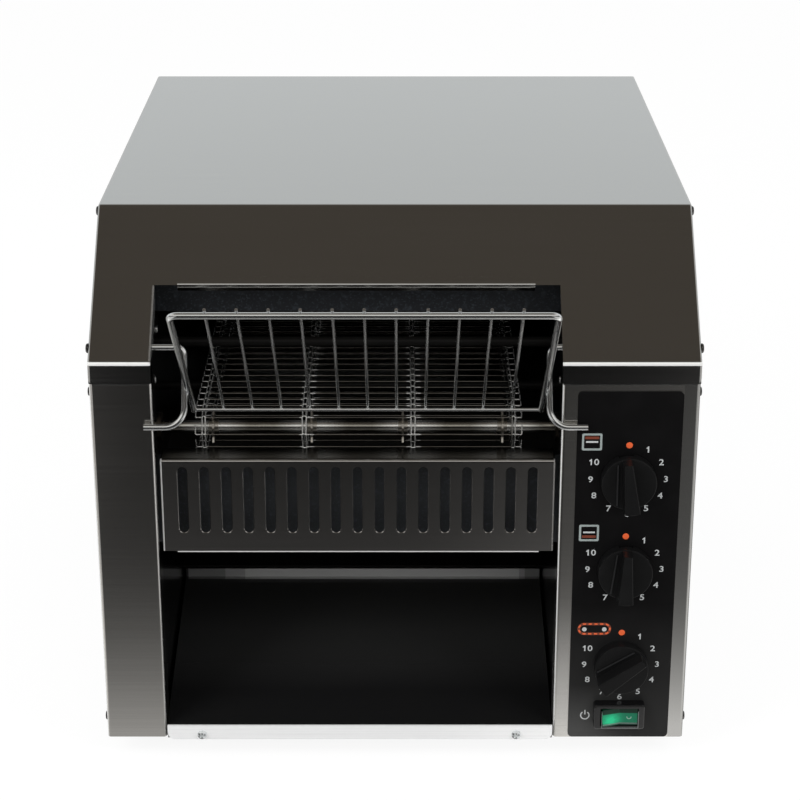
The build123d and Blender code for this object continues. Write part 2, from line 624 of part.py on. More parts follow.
def spindle(height):
    """Control shaft from the knob's bore into the regulator."""
    flat = Pos(SPINDLE_RADIUS, 0, -3) * Box(1.6, 10, 10)
    shape = Pos(0, 0, -3) * Cylinder(SPINDLE_RADIUS, 25) - Pos(0, 0, 10) * flat
    return knob_place(height, 0) * shape


def regulator(height, size):
    """Control body behind the column, with a blind bore for its spindle."""
    start = COLUMN_FACE + SHEET
    body = block((KNOB_X - size / 2, KNOB_X + size / 2), (start + 1, start + 24),
                 (height - size / 2, height + size / 2))
    body = fillet(body.edges().filter_by(Axis.Y), 2)
    body += rod((KNOB_X, start, height), (KNOB_X, start + 2, height), 7)
    bore = rod((KNOB_X, start - 1, height), (KNOB_X, start + 15, height), SPINDLE_RADIUS + SHAFT_CLEARANCE)
    blades = [block((KNOB_X + x - 3, KNOB_X + x + 3), (start + 23, start + 32), (height - 8, height - 7))
              for x in (-8, 8)]
    return body + blades[0] + blades[1] - bore


def switch_cutter(depth):
    x, z = SWITCH_CENTRE
    return block((x - 14, x + 14), (depth, 10), (z - 7.4, z + 7.4))


def switch_body():
    """Snap-in switch: proud bezel, hollow throat for the rocker and a body behind the column."""
    x, z = SWITCH_CENTRE
    face = COLUMN_FACE - OVERLAY_THICKNESS
    bezel = block((x - SWITCH_BEZEL[0] / 2, x + SWITCH_BEZEL[0] / 2), (face - SWITCH_PROUD, face),
                  (z - SWITCH_BEZEL[1] / 2, z + SWITCH_BEZEL[1] / 2))
    bezel = fillet(bezel.edges().filter_by(Axis.Y), 2)
    bezel = fillet(bezel.edges().group_by(Axis.Y)[0], 1.2)
    body = block((x - 13.8, x + 13.8), (face, face + 24), (z - 7.2, z + 7.2))
    throat = block((x - SWITCH_OPENING[0] / 2, x + SWITCH_OPENING[0] / 2), (-20, face + 6),
                   (z - SWITCH_OPENING[1] / 2, z + SWITCH_OPENING[1] / 2))
    pivot_holes = rod((x, face - ROCKER_DEPTH, z - 7.2), (x, face - ROCKER_DEPTH, z + 7.2), ROCKER_PIN + SHAFT_CLEARANCE)
    piece = bezel + body - throat - pivot_holes
    for offset in (-8, 0, 8):
        piece += block((x + offset - 3, x + offset + 3), (face + 24, face + 32), (z - 0.4, z + 0.4))
    return piece


def power_rocker():
    """Rocker with two facets and a pivot pin, tipped so that its left end is pressed in."""
    x, z = SWITCH_CENTRE
    width, height = SWITCH_OPENING[0] / 2 - 1.0, SWITCH_OPENING[1] / 2 - 0.4
    outline = [(-width, -4.2), (0, -2.4), (width, -4.2), (width - 0.6, 1.0), (0, 3.0), (-width + 0.6, 1.0)]
    shape = extrude(make_face(Polyline(*outline, close=True)), height, both=True)
    shape += Cylinder(ROCKER_PIN, SWITCH_OPENING[1] + 1.4)
    pivot_y = COLUMN_FACE - OVERLAY_THICKNESS - ROCKER_DEPTH
    return Pos(x, pivot_y, z) * Rot(0, 0, ROCKER_TILT) * shape


def terminal_block():
    base = block((118, 160), (375, 393), (SHEET, SHEET + 12))
    return base + block((118, 160), (381, 387), (SHEET + 12, SHEET + 18))


def cable_gland():
    """Gland for the supply lead, through the back panel."""
    x, z = GLAND
    body = rod((x, DEPTH, z), (x, DEPTH + REAR_REACH, z), 11)
    body = fillet(body.edges().group_by(Axis.Y)[-1], 2)
    body += rod((x, DEPTH - 12, z), (x, DEPTH + 1, z), 8)
    nut = Plane(origin=(x, DEPTH - SHEET, z), z_dir=(0, -1, 0)).location * extrude(RegularPolygon(12, 6), 5)
    return body + nut - rod((x, DEPTH - 20, z), (x, DEPTH + 20, z), GLAND_RADIUS)


# ------------------------------------------------------------------ feed rack
def rack_side(side, tip, pin):
    """Hanger at one side: pin in the hood, drop past the side bar and ear that rests on the column."""
    x = RACK_CENTRE + side * RACK_HANGER
    return bent_wire([(pin, *RACK_PIVOT), (x, *RACK_PIVOT), (x, *RACK_EAR), (tip, *RACK_EAR)], HANGER_BENDS, RACK_ROD)


def wire_rack():
    (left, right), (low_left, low_right) = [(RACK_CENTRE - half, RACK_CENTRE + half) for half in RACK_HALF]
    frame_points = [(low_left, *RACK_BOTTOM), (left, *RACK_TOP), (right, *RACK_TOP), (low_right, *RACK_BOTTOM)]
    rack = bent_wire(frame_points, (RACK_BEND, RACK_BEND), RACK_ROD)
    rack += cross_rod((low_left, low_right), RACK_BOTTOM, LOWER_BAR)
    rack += [Pos(x, *RACK_BOTTOM) * Sphere(RACK_ROD + 0.05) for x in (low_left, low_right)]
    fall = Vector(0, RACK_BOTTOM[0] - RACK_TOP[0], RACK_BOTTOM[1] - RACK_TOP[1]).normalized()
    above = Vector(0, -fall.Z, fall.Y)
    for n in range(GRID_COUNT):
        x = RACK_CENTRE + GRID_PITCH * (n - (GRID_COUNT - 1) / 2)
        start = Vector(x, *RACK_TOP) + above * (RACK_ROD + GRID_WIRE - 0.6) - fall * 3
        end = Vector(x, *RACK_BOTTOM) + above * (LOWER_BAR + GRID_WIRE - 0.5) + fall * 1.6
        rack += rod(tuple(start), tuple(end), GRID_WIRE)
    rack += rack_side(-1, EAR_TIPS[0], CUT_OUT[0] - 3.5)
    return rack + rack_side(1, EAR_TIPS[1], CUT_OUT[1] + 3.5)


# ------------------------------------------------------------------ feet and fasteners
def rubber_feet():
    foot = Pos(0, 0, -FOOT_HEIGHT / 2) * Cone(FOOT_RADIUS - 2, FOOT_RADIUS, FOOT_HEIGHT)
    foot = fillet(foot.edges().group_by(Axis.Z)[0], 1.5) - Pos(0, 0, -FOOT_HEIGHT) * Cylinder(4.5, 17.6)
    foot -= Cylinder(2.1, 3 * FOOT_HEIGHT)
    return Compound([Pos(x, y, 0) * foot for x, y in FEET])


def foot_screws():
    screw = Cylinder(2.0, 14.0) + Pos(0, 0, -6) * Cylinder(4.0, 2.0)
    return Compound([Pos(x, y, 0.8) * Pos(0, 0, -1) * screw for x, y in FEET])


def side_screws():
    sides = [screws_at([(SIDES[side], y, z) for y, z in SIDE_SCREWS], (side, 0, 0), length=5.0) for side in (-1, 1)]
    return Compound([screw for side in sides for screw in side.solids()])


def wall_rivets():
    """Rivet heads on the chamber walls beside the feed mouth."""
    places = [(30.0, 236.0), (50.0, 262.0), (150.0, 258.0), (330.0, 258.0)]
    head = fillet((Pos(0, 0, 0.6) * Cylinder(2.6, 1.2)).edges().group_by(Axis.Z)[-1], 0.9)
    rivets = []
    for x, outward in ((CHAMBER[0], 1), (CHAMBER[1], -1)):
        rivets += [Plane(origin=(x, *place), z_dir=(outward, 0, 0)).location * head for place in places]
    return Compound(rivets)


save("hood", hood())
save("left_column", column(LEFT_COLUMN, -1))
save("right_column", right_column())
save("left_side_panel", side_panel(-1))
save("right_side_panel", side_panel(1))
save("base_plate", base_plate())
save("front_lip", front_lip())
save("rear_panel", rear_panel())
save("left_chamber_wall", chamber_wall(LEFT_WALL, -1))
save("right_chamber_wall", chamber_wall(RIGHT_WALL, 1))
save("toast_tray", toast_tray())
save("toast_chute", toast_chute())
save("slotted_guard", slotted_guard())
save("front_heat_shield", front_heat_shield())
save("front_baffle", front_baffle())
save("upper_reflector", upper_reflector())
save("lower_reflector", lower_reflector())
save("belt_upper_run", belt_run(WRAP_RADIUS))
save("belt_lower_run", belt_run(-WRAP_RADIUS))
save("belt_nose", belt_wrap(FRONT_AXIS, (135, 180, 225)))
save("belt_tail", belt_wrap(REAR_AXIS, (45, 0, -45)))
save("front_shaft", cross_rod((LEFT_WALL[0] - 4, RIGHT_WALL[1] + 3), FRONT_AXIS, SHAFT_RADIUS))
save("rear_drive_shaft", cross_rod((LEFT_WALL[0] - 4, CHAIN_X + 6), REAR_AXIS, SHAFT_RADIUS))
save("front_belt_wheels", belt_wheels(FRONT_AXIS))
save("rear_belt_wheels", belt_wheels(REAR_AXIS))
save("shaft_bushes", shaft_bushes())
save("upper_elements", elements(UPPER_ELEMENTS))
save("lower_elements", elements(LOWER_ELEMENTS))
save("element_insulators", element_insulators())
save("busbars", busbars())
save("drive_sprocket", sprocket("drive", REAR_AXIS, 1))
save("motor_sprocket", sprocket("motor", MOTOR_AXIS, 1))
save("motor_shaft", cross_rod((CHAIN_X - 3, BRACKET_X[1] + 11), MOTOR_AXIS, SHAFT_RADIUS))
save("drive_chain", drive_chain())
save("gear_motor", gear_motor())
save("motor_bracket", motor_bracket())
save("fan_frame", fan_frame())
save("fan_rotor", fan_rotor())
save("control_overlay", control_overlay())
for name, (height, turn) in KNOBS.items():
    save(f"{name}_knob", knob(height, turn))
    save(f"{name}_spindle", spindle(height))
    save(f"{name}_regulator", regulator(height, 34 if name != "belt_speed" else 26))
save("switch_body", switch_body())
save("power_rocker", power_rocker())
save("terminal_block", terminal_block())
save("cable_gland", cable_gland())
save("wire_rack", wire_rack())
save("rubber_feet", rubber_feet())
save("foot_screws", foot_screws())
save("side_screws", side_screws())
save("lip_screws", screws_at([(x, 0.2 - SHEET, z) for x, z in LIP_SCREWS], (0, -1, 0)))
save("rear_screws", screws_at([(x, DEPTH, z) for x, z in REAR_SCREWS], (0, 1, 0)))
save("wall_rivets", wall_rivets())
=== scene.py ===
"""Looks of a countertop conveyor toaster: its finishes, wire belt, dial prints, floor, light and camera."""

from __future__ import annotations

import json
import logging
import math
from collections.abc import Sequence
from dataclasses import dataclass, field
from enum import Enum
from typing import Any, Protocol

import bpy
from mathutils import Euler, Matrix, Vector

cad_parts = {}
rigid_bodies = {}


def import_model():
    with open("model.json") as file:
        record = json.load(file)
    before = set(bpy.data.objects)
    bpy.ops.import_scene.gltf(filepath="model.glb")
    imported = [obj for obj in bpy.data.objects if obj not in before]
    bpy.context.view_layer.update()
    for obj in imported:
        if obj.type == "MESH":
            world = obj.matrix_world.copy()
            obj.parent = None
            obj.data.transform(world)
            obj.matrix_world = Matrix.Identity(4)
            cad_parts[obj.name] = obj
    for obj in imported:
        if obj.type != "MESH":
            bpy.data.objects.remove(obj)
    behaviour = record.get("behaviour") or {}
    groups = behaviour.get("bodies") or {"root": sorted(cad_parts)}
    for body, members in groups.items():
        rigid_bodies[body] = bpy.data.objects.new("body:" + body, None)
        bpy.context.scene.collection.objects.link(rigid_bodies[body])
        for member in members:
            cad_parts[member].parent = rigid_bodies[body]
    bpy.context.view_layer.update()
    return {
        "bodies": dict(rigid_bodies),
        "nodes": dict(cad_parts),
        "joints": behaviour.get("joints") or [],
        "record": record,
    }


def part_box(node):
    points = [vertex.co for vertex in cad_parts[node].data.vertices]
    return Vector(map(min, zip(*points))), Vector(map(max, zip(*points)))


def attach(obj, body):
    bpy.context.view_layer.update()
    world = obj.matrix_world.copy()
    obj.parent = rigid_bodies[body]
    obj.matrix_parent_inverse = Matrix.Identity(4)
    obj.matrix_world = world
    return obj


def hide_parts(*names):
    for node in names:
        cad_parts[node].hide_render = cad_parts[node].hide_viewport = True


LOG = logging.getLogger("conveyor_toaster")
MM = 0.001
OPEN = 1.0
BRIGHT_TONE = 0.5
WHITE = (1.0, 1.0, 1.0, 1.0)
Colour = tuple[float, float, float]
Point = tuple[float, float, float]
Pair = tuple[float, float]
Stops = Sequence[tuple[float, Colour]]


# --------------------------------------------------------------------------- node graphs
class Value:
    """A node's output socket that Python arithmetic turns into Math nodes."""

    def __init__(self, graph: Graph, socket: bpy.types.NodeSocket) -> None:
        """Keep the graph and the socket.

        Args:
            graph: The graph that new nodes go into.
            socket: The output socket that this value stands for.
        """
        self.graph = graph
        self.socket = socket

    def __add__(self, other: Operand) -> Value:
        """Return self + other."""
        return self.graph.maths("ADD", self, other)

    def __radd__(self, other: Operand) -> Value:
        """Return other + self."""
        return self.graph.maths("ADD", other, self)

    def __sub__(self, other: Operand) -> Value:
        """Return self - other."""
        return self.graph.maths("SUBTRACT", self, other)

    def __rsub__(self, other: Operand) -> Value:
        """Return other - self."""
        return self.graph.maths("SUBTRACT", other, self)

    def __mul__(self, other: Operand) -> Value:
        """Return self * other."""
        return self.graph.maths("MULTIPLY", self, other)

    def __rmul__(self, other: Operand) -> Value:
        """Return other * self."""
        return self.graph.maths("MULTIPLY", other, self)

    def __truediv__(self, other: Operand) -> Value:
        """Return self / other."""
        return self.graph.maths("DIVIDE", self, other)

    def __pow__(self, other: Operand) -> Value:
        """Return self ** other."""
        return self.graph.maths("POWER", self, other)

    def __rpow__(self, other: Operand) -> Value:
        """Return other ** self."""
        return self.graph.maths("POWER", other, self)

    def __gt__(self, other: Operand) -> Value:
        """Return 1 where self is greater than other, and 0 elsewhere."""
        return self.graph.maths("GREATER_THAN", self, other)

    def __abs__(self) -> Value:
        """Return the value without its sign."""
        return self.graph.maths("ABSOLUTE", self)


Operand = Value | float


def opaque(colour: Value | Colour) -> Value | tuple[float, ...]:
    """Return a colour as a node takes it: a link as it is, and numbers with a full alpha."""
    return (*colour, 1.0) if isinstance(colour, tuple) else colour


class Graph:
    """A node tree with one method for any node, and short forms for the usual ones."""

    def __init__(self, tree: bpy.types.NodeTree) -> None:
        """Keep the tree that the nodes go into."""
        self.tree = tree

    def add(self, kind: str, settings: dict[str, Any] | None = None,
            inputs: dict[str | int, Any] | None = None) -> bpy.types.Node:
        """Add one node, with its settings first and then its sockets.

        Args:
            kind: The node's type name.
            settings: Attribute values, and under "stops" a ramp's (place, colour) pairs.
            inputs: Values or links of the sockets, by name or index.

        Returns:
            The new node.
        """
        node = self.tree.nodes.new(kind)
        for name, value in (settings or {}).items():
            if name == "stops":
                self._set_stops(node, value)
            else:
                setattr(node, name, value)
        for key, value in (inputs or {}).items():
            if isinstance(value, Value):
                self.tree.links.new(value.socket, node.inputs[key])
            elif isinstance(value, bpy.types.NodeSocket):
                self.tree.links.new(value, node.inputs[key])
            else:
                node.inputs[key].default_value = value
        return node

    @staticmethod
    def _set_stops(node: bpy.types.Node, stops: Stops) -> None:
        """Give a colour ramp its stops."""
        elements = node.color_ramp.elements
        while len(elements) < len(stops):
            elements.new(1.0)
        for element, (place, colour) in zip(elements, stops):
            element.position = place
            element.color = (*colour, 1.0)

    def out(self, node: bpy.types.Node, key: str | int = 0) -> Value:
        """Return one output of a node as a value."""
        return Value(self, node.outputs[key])

    def value(self, kind: str, inputs: dict[str | int, Any] | None = None,
              settings: dict[str, Any] | None = None, key: str | int = 0) -> Value:
        """Add one node and return one of its outputs."""
        return self.out(self.add(kind, settings, inputs), key)

    def maths(self, operation: str, *terms: Operand) -> Value:
        """Add a Math node.

        Args:
            operation: The node's operation.
            terms: One or two values or numbers.

        Returns:
            The node's result.
        """
        return self.value("ShaderNodeMath", dict(enumerate(terms)), {"operation": operation})

    def ramp(self, factor: Value, stops: Stops) -> Value:
        """Return a colour that follows a factor through a ramp's stops."""
        return self.value("ShaderNodeValToRGB", {"Fac": factor}, {"stops": stops})

    def spread(self, value: Value, old: Pair, new: Pair) -> Value:
        """Map a value from one range to another, kept inside the new one."""
        inputs = {"Value": value, 1: old[0], 2: old[1], 3: new[0], 4: new[1]}
        return self.value("ShaderNodeMapRange", inputs, {"clamp": True})

    def mix(self, factor: Operand, first: Value | Colour, second: Value | Colour) -> Value:
        """Blend two colours by a factor."""
        inputs = {0: factor, 6: opaque(first), 7: opaque(second)}
        return self.value("ShaderNodeMix", inputs, {"data_type": "RGBA"}, 2)

    def noise(self, vector: Value, scale: float, detail: float = 3.0) -> Value:
        """Return fractal noise between 0 and 1."""
        return self.value("ShaderNodeTexNoise", {"Vector": vector, "Scale": scale, "Detail": detail})

    def stretched(self, vector: Value, factors: Point) -> Value:
        """Return coordinates scaled by a factor on each axis."""
        return self.value("ShaderNodeMapping", {"Vector": vector, "Scale": factors})

    def blend(self, factor: Value, first: Value, second: Value) -> Value:
        """Return a mixture of two shaders."""
        return self.value("ShaderNodeMixShader", {0: factor, 1: first, 2: second})

    def object_coordinates(self) -> Value:
        """Return Object coordinates, in metres."""
        return self.value("ShaderNodeTexCoord", key="Object")

    def parts(self, vector: Value) -> tuple[Value, Value, Value]:
        """Return the X, Y and Z of a vector."""
        node = self.add("ShaderNodeSeparateXYZ", None, {"Vector": vector})
        return self.out(node, 0), self.out(node, 1), self.out(node, 2)


def emptied(owner: bpy.types.Material | bpy.types.World) -> Graph:
    """Return a graph on the emptied node tree of a material or the world."""
    owner.use_nodes = True
    owner.node_tree.nodes.clear()
    return Graph(owner.node_tree)


# --------------------------------------------------------------------------- finishes
class Finish(Protocol):
    """Anything that can dress a surface."""

    name: str

    def shade(self, graph: Graph, shader: bpy.types.Node) -> None:
        """Set the sockets of a Principled shader."""


def make_material(finish: Finish) -> bpy.types.Material:
    """Return the finish's material, made the first time that it is asked for.

    Args:
        finish: The finish to build.

    Returns:
        The material of that name.
    """
    known = bpy.data.materials.get(finish.name)
    if known:
        return known
    material = bpy.data.materials.new(finish.name)
    graph = emptied(material)
    shader = graph.add("ShaderNodeBsdfPrincipled")
    finish.shade(graph, shader)
    graph.add("ShaderNodeOutputMaterial", None, {"Surface": shader.outputs[0]})
    return material


def link(graph: Graph, value: Value, shader: bpy.types.Node, socket: str) -> None:
    """Join a value to one socket of a shader."""
    graph.tree.links.new(value.socket, shader.inputs[socket])


def bump(graph: Graph, height: Value, depth: float, strength: float = 1.0) -> Value:
    """Return a normal disturbed by a height.

    Args:
        graph: The material's graph.
        height: Height between 0 and 1.
        depth: Real height of 1, in metres.
        strength: Share of the effect that is kept.

    Returns:
        The normal.
    """
    return graph.value("ShaderNodeBump", {"Height": height, "Distance": depth, "Strength": strength})


def below(end: float) -> Pair:
    """Return the range of places that has no start."""
    return -OPEN, end


def above(start: float) -> Pair:
    """Return the range of places that has no end."""
    return start, OPEN


@dataclass(frozen=True)
class Bend:
    """Box in Object coordinates where a tone is painted in for light or shade: painted highlights along folded edges,
    and painted light and shade elsewhere; a side at OPEN has no end.
    """

    strength: float
    x: Pair = (-OPEN, OPEN)
    y: Pair = (-OPEN, OPEN)
    z: Pair = (-OPEN, OPEN)
    soft: float = 0.25 * MM
    tone: float = 0.93

    def mask(self, graph: Graph, place: Value) -> Value:
        """Return the strength inside the box, falling to 0 outside it."""
        inside = graph.maths("ADD", self.strength, 0.0)
        for value, (low, high) in zip(graph.parts(place), (self.x, self.y, self.z)):
            if low > -OPEN:
                inside = inside * graph.spread(value, (low - self.soft, low), (0.0, 1.0))
            if high < OPEN:
                inside = inside * graph.spread(value, (high, high + self.soft), (1.0, 0.0))
        return inside


def folded(graph: Graph, place: Value, metal: Value, bends: tuple[Bend, ...]) -> Value:
    """Return a colour with the painted light or shade tone of every box mixed in."""
    for bend in bends:
        metal = graph.mix(bend.mask(graph, place), metal, (bend.tone, bend.tone, bend.tone * 0.98))
    return metal


def gleam(graph: Graph, place: Value, bends: tuple[Bend, ...]) -> Value:
    """Return how strongly any painted highlight box covers a place."""
    total = graph.maths("ADD", 0.0, 0.0)
    for bend in bends:
        if bend.tone > BRIGHT_TONE:
            total = graph.maths("MAXIMUM", total, bend.mask(graph, place))
    return total


@dataclass(frozen=True)
class BrushedSteel:
    """Stainless sheet with a fine horizontal grain, and painted highlights and painted shade in given boxes, such as
    bright folded edges.
    """

    name: str
    colour: Colour
    roughness: float = 0.17
    grain_depth: float = 0.0000022
    smudge: float = 0.04
    tint: float = 0.045
    metallic: float = 1.0
    bends: tuple[Bend, ...] = ()
    streak: Pair = (7.0, 1500.0)
    cloud_scale: float = 9.0

    def shade(self, graph: Graph, shader: bpy.types.Node) -> None:
        """Lay streaks along the sheet and faint smudges over them, then the painted light boxes."""
        along, across = self.streak
        place = graph.object_coordinates()
        normal = graph.value("ShaderNodeNewGeometry", key="Normal")
        level = abs(graph.parts(normal)[2]) > 0.5
        upright = graph.noise(graph.stretched(place, (along, along, across)), 1.0, 4.0)
        flat = graph.noise(graph.stretched(place, (along, across, along)), 1.0, 4.0)
        grain = upright * (1.0 - level) + flat * level
        cloud = graph.noise(place, self.cloud_scale, 4.0)
        dark = tuple(channel * (1.0 - self.tint) for channel in self.colour)
        light = tuple(min(channel * (1.0 + self.tint), 1.0) for channel in self.colour)
        sheet = graph.mix(graph.spread(grain, (0.3, 0.7), (0.0, 1.0)), dark, light)
        rough = self.roughness + (grain - 0.5) * 0.06 + (cloud - 0.5) * self.smudge
        shader.inputs["Metallic"].default_value = self.metallic
        # Painted light: each box mixes its tone into the base colour; where the tone is bright the metal turns rougher
        # and less metallic, so the painted highlight shows.
        if self.bends:
            sheet = folded(graph, place, sheet, self.bends)
            bright = gleam(graph, place, self.bends)
            rough = rough + bright * 0.2
            link(graph, self.metallic - bright * 0.9, shader, "Metallic")
        link(graph, sheet, shader, "Base Color")
        link(graph, rough, shader, "Roughness")
        link(graph, bump(graph, grain, self.grain_depth), shader, "Normal")


@dataclass(frozen=True)
class PolishedSteel:
    """Bright sheet or bar with faint wiping marks, and painted highlights and painted shade in given boxes."""

    name: str
    colour: Colour
    roughness: float = 0.10
    tarnish: Colour = (0.30, 0.27, 0.22)
    tarnish_share: float = 0.15
    metallic: float = 1.0
    bends: tuple[Bend, ...] = ()
    dulled: float = 0.0
    wiping: Point = (25.0, 60.0, 60.0)
    heat_scale: float = 30.0

    def shade(self, graph: Graph, shader: bpy.types.Node) -> None:
        """Vary the gloss slowly and let heat tint the metal a little."""
        place = graph.object_coordinates()
        marks = graph.noise(graph.stretched(place, self.wiping), 1.0, 5.0)
        heat = graph.noise(place, self.heat_scale, 3.0)
        factor = graph.spread(heat, (0.45, 0.75), (0.0, self.tarnish_share))
        metal = graph.mix(factor, self.colour, self.tarnish)
        shader.inputs["Metallic"].default_value = self.metallic
        # Painted light: each box mixes its tone into the base colour; dulled makes bright boxes less metallic, so the
        # painted highlight shows.
        if self.bends:
            metal = folded(graph, place, metal, self.bends)
            if self.dulled:
                link(graph, self.metallic - gleam(graph, place, self.bends) * self.dulled, shader, "Metallic")
        link(graph, metal, shader, "Base Color")
        link(graph, self.roughness + marks * 0.08, shader, "Roughness")
        link(graph, bump(graph, marks, 0.000004), shader, "Normal")


@dataclass(frozen=True)
class SpeckledSheet:
    """Aluminised sheet with fine light specks."""

    name: str
    colour: Colour
    speck: Colour
    roughness: float = 0.42
    metallic: float = 0.7
    scales: Pair = (900.0, 260.0)

    def shade(self, graph: Graph, shader: bpy.types.Node) -> None:
        """Scatter specks of two sizes over a dark blue-grey sheet."""
        place = graph.object_coordinates()
        fine, coarse = graph.noise(place, self.scales[0], 2.0), graph.noise(place, self.scales[1], 4.0)
        specks = graph.spread(fine, (0.56, 0.74), (0.0, 1.0)) * 0.6 + graph.spread(coarse, (0.55, 0.8), (0.0, 0.5))
        link(graph, graph.mix(specks, self.colour, self.speck), shader, "Base Color")
        link(graph, self.roughness + (coarse - 0.5) * 0.2, shader, "Roughness")
        link(graph, bump(graph, fine, 0.00003, 0.5), shader, "Normal")
        shader.inputs["Metallic"].default_value = self.metallic


@dataclass(frozen=True)
class Moulding:
    """Moulded plastic, rubber or ceramic with a fine surface texture."""

    name: str
    colour: Colour
    roughness: float = 0.42
    texture_scale: float = 1400.0
    texture_depth: float = 0.00002
    gloss: float = 0.5
    bends: tuple[Bend, ...] = ()
    wear_scale: float = 55.0

    def shade(self, graph: Graph, shader: bpy.types.Node) -> None:
        """Give the surface a spark-eroded texture, slight wear, and any painted light boxes."""
        place = graph.object_coordinates()
        texture = graph.noise(place, self.texture_scale, 2.0)
        wear = graph.noise(place, self.wear_scale, 4.0)
        worn = tuple(min(channel * 1.3 + 0.0012, 1.0) for channel in self.colour)
        skin = graph.mix(graph.spread(wear, (0.45, 0.8), (0.0, 0.6)), self.colour, worn)
        link(graph, folded(graph, place, skin, self.bends), shader, "Base Color")
        link(graph, self.roughness + (wear - 0.5) * 0.12, shader, "Roughness")
        link(graph, bump(graph, texture, self.texture_depth, 0.6), shader, "Normal")
        shader.inputs["Specular IOR Level"].default_value = self.gloss


@dataclass(frozen=True)
class LitLens:
    """Translucent moulding with a lamp behind one end."""

    name: str
    colour: Colour
    glow: Colour
    lamp: Pair
    reach: float
    band: Pair
    nought: Pair
    nought_radius: float = 1.35 * MM
    blur: float = 0.4 * MM
    sill: Colour = (0.045, 0.065, 0.060)
    marking: Colour = (0.30, 0.34, 0.33)
    shadow: Colour = (0.004, 0.010, 0.008)

    def shade(self, graph: Graph, shader: bpy.types.Node) -> None:
        """Let the glow fade away from the lamp, with moulded ripples, a clear strip along the bottom, painted shade
        over the top, and a painted highlight along the strip's edge beside the printed nought.
        """
        place = graph.object_coordinates()
        across, _, up = graph.parts(place)
        beside, over = across - self.lamp[0], up - self.lamp[1]
        away = (beside * beside + over * over) ** 0.5
        share = graph.spread(away, (0.1 * self.reach, self.reach), (1.0, 0.0))
        ripple = graph.noise(graph.stretched(place, (0.6, 1.0, 1.6)), 520.0, 2.0)
        clear = graph.spread(up, (self.band[0], self.band[0] + 0.8 * MM), (1.0, 0.0))
        # Painted shade: the top of the lens turns nearly black and its glow dims, as in shade under the switch's top.
        shaded_top = graph.spread(up, (self.band[1] - 0.5 * MM, self.band[1]), (0.0, 1.0))
        strength = share * share * (0.5 + ripple) + 0.14 + 0.10 * ripple
        strength = strength * (1.0 - clear * 0.85) * (1.0 - shaded_top * 0.9)
        link(graph, graph.mix(strength, (0.0, 0.0, 0.0), self.glow), shader, "Emission Color")
        shader.inputs["Emission Strength"].default_value = 1.0
        skin = graph.mix(ripple, self.colour, tuple(channel * 0.6 for channel in self.colour))
        skin = graph.mix(clear * 0.8, skin, self.sill)
        ring = ((across - self.nought[0]) ** 2.0 + (up - self.nought[1]) ** 2.0) ** 0.5
        marks = graph.spread(abs(ring - self.nought_radius), (0.15 * MM, self.blur), (1.0, 0.0))
        marks = marks * graph.spread(up, (self.nought[1], self.nought[1] + self.blur), (1.0, 0.0))
        # Painted highlight: a light line along the clear strip's edge; the nought beside it is print.
        edge_highlight = graph.spread(abs(up - self.band[0]), (0.1 * MM, self.blur), (0.6, 0.0))
        skin = graph.mix(graph.maths("MAXIMUM", marks, edge_highlight) * 0.8, skin, self.marking)
        link(graph, graph.mix(shaded_top, skin, self.shadow), shader, "Base Color")
        link(graph, 0.14 + ripple * 0.1, shader, "Roughness")
        shader.inputs["Specular IOR Level"].default_value = 0.2
        link(graph, bump(graph, ripple, 0.00008, 0.5), shader, "Normal")


@dataclass(frozen=True)
class Ink:
    """Screen-printed ink."""

    name: str
    colour: Colour

    def shade(self, graph: Graph, shader: bpy.types.Node) -> None:
        """Vary the ink's density a little."""
        place = graph.object_coordinates()
        density = graph.noise(place, 1100.0, 2.0)
        thin = tuple(channel * 0.82 for channel in self.colour)
        link(graph, graph.mix(density, thin, self.colour), shader, "Base Color")
        link(graph, 0.38 + density * 0.1, shader, "Roughness")


WHITE_INK = Ink("white_ink", (0.56, 0.58, 0.58))
FRAME_INK = Ink("frame_ink", (0.33, 0.38, 0.37))
ORANGE_INK = Ink("orange_ink", (0.86, 0.13, 0.03))
LINE_INK = Ink("line_ink", (0.20, 0.040, 0.016))
# Partly real, partly painted light: the splash cover's edge, drawn as a flat light line for a painted highlight where
# its clear edge catches light.
COVER_EDGE_HIGHLIGHT = Ink("clear_cover_edge", (0.16, 0.17, 0.17))
# Painted highlight: a lighter strip laid on each knob's rib.
RIB_HIGHLIGHT = Moulding("worn_rib", (0.020, 0.020, 0.021), 0.30, 1600.0, 0.000012, gloss=0.3)

# Places in metres: the hood flange's foot, the fronts of the columns and the guard, the tray's strip, the X of the
# belt's hooks and of the shaft between its wheels, where highlights are painted, and the lip's screws. The painted
# shade on one head, standing in for its recess, is in boxes in millimetres from its middle: left, right, low and high.
FLANGE_FOOT = 0.2578
COLUMN_FRONT = below(-0.1835)
GUARD_FRONT = below(-0.1740)
TRAY_STRIP = above(0.0554)
HOOKS = (-0.1210, -0.0540, 0.0130, 0.0790)
SHAFT_HIGHLIGHTS = (-0.1140, -0.0520, 0.0095, 0.0710)
LIP_SCREWS = ((-0.1237, 0.0169), (0.0788, 0.0169))
LIP_SCREW_SHADE = ((-0.35, 0.35, 0.2, 1.7), (1.0, 2.0, -0.1, 0.9), (-2.4, -1.3, 0.4, 1.6), (-2.7, -1.7, -1.6, -0.4),
                  (-1.7, 0.4, -2.6, -1.9))

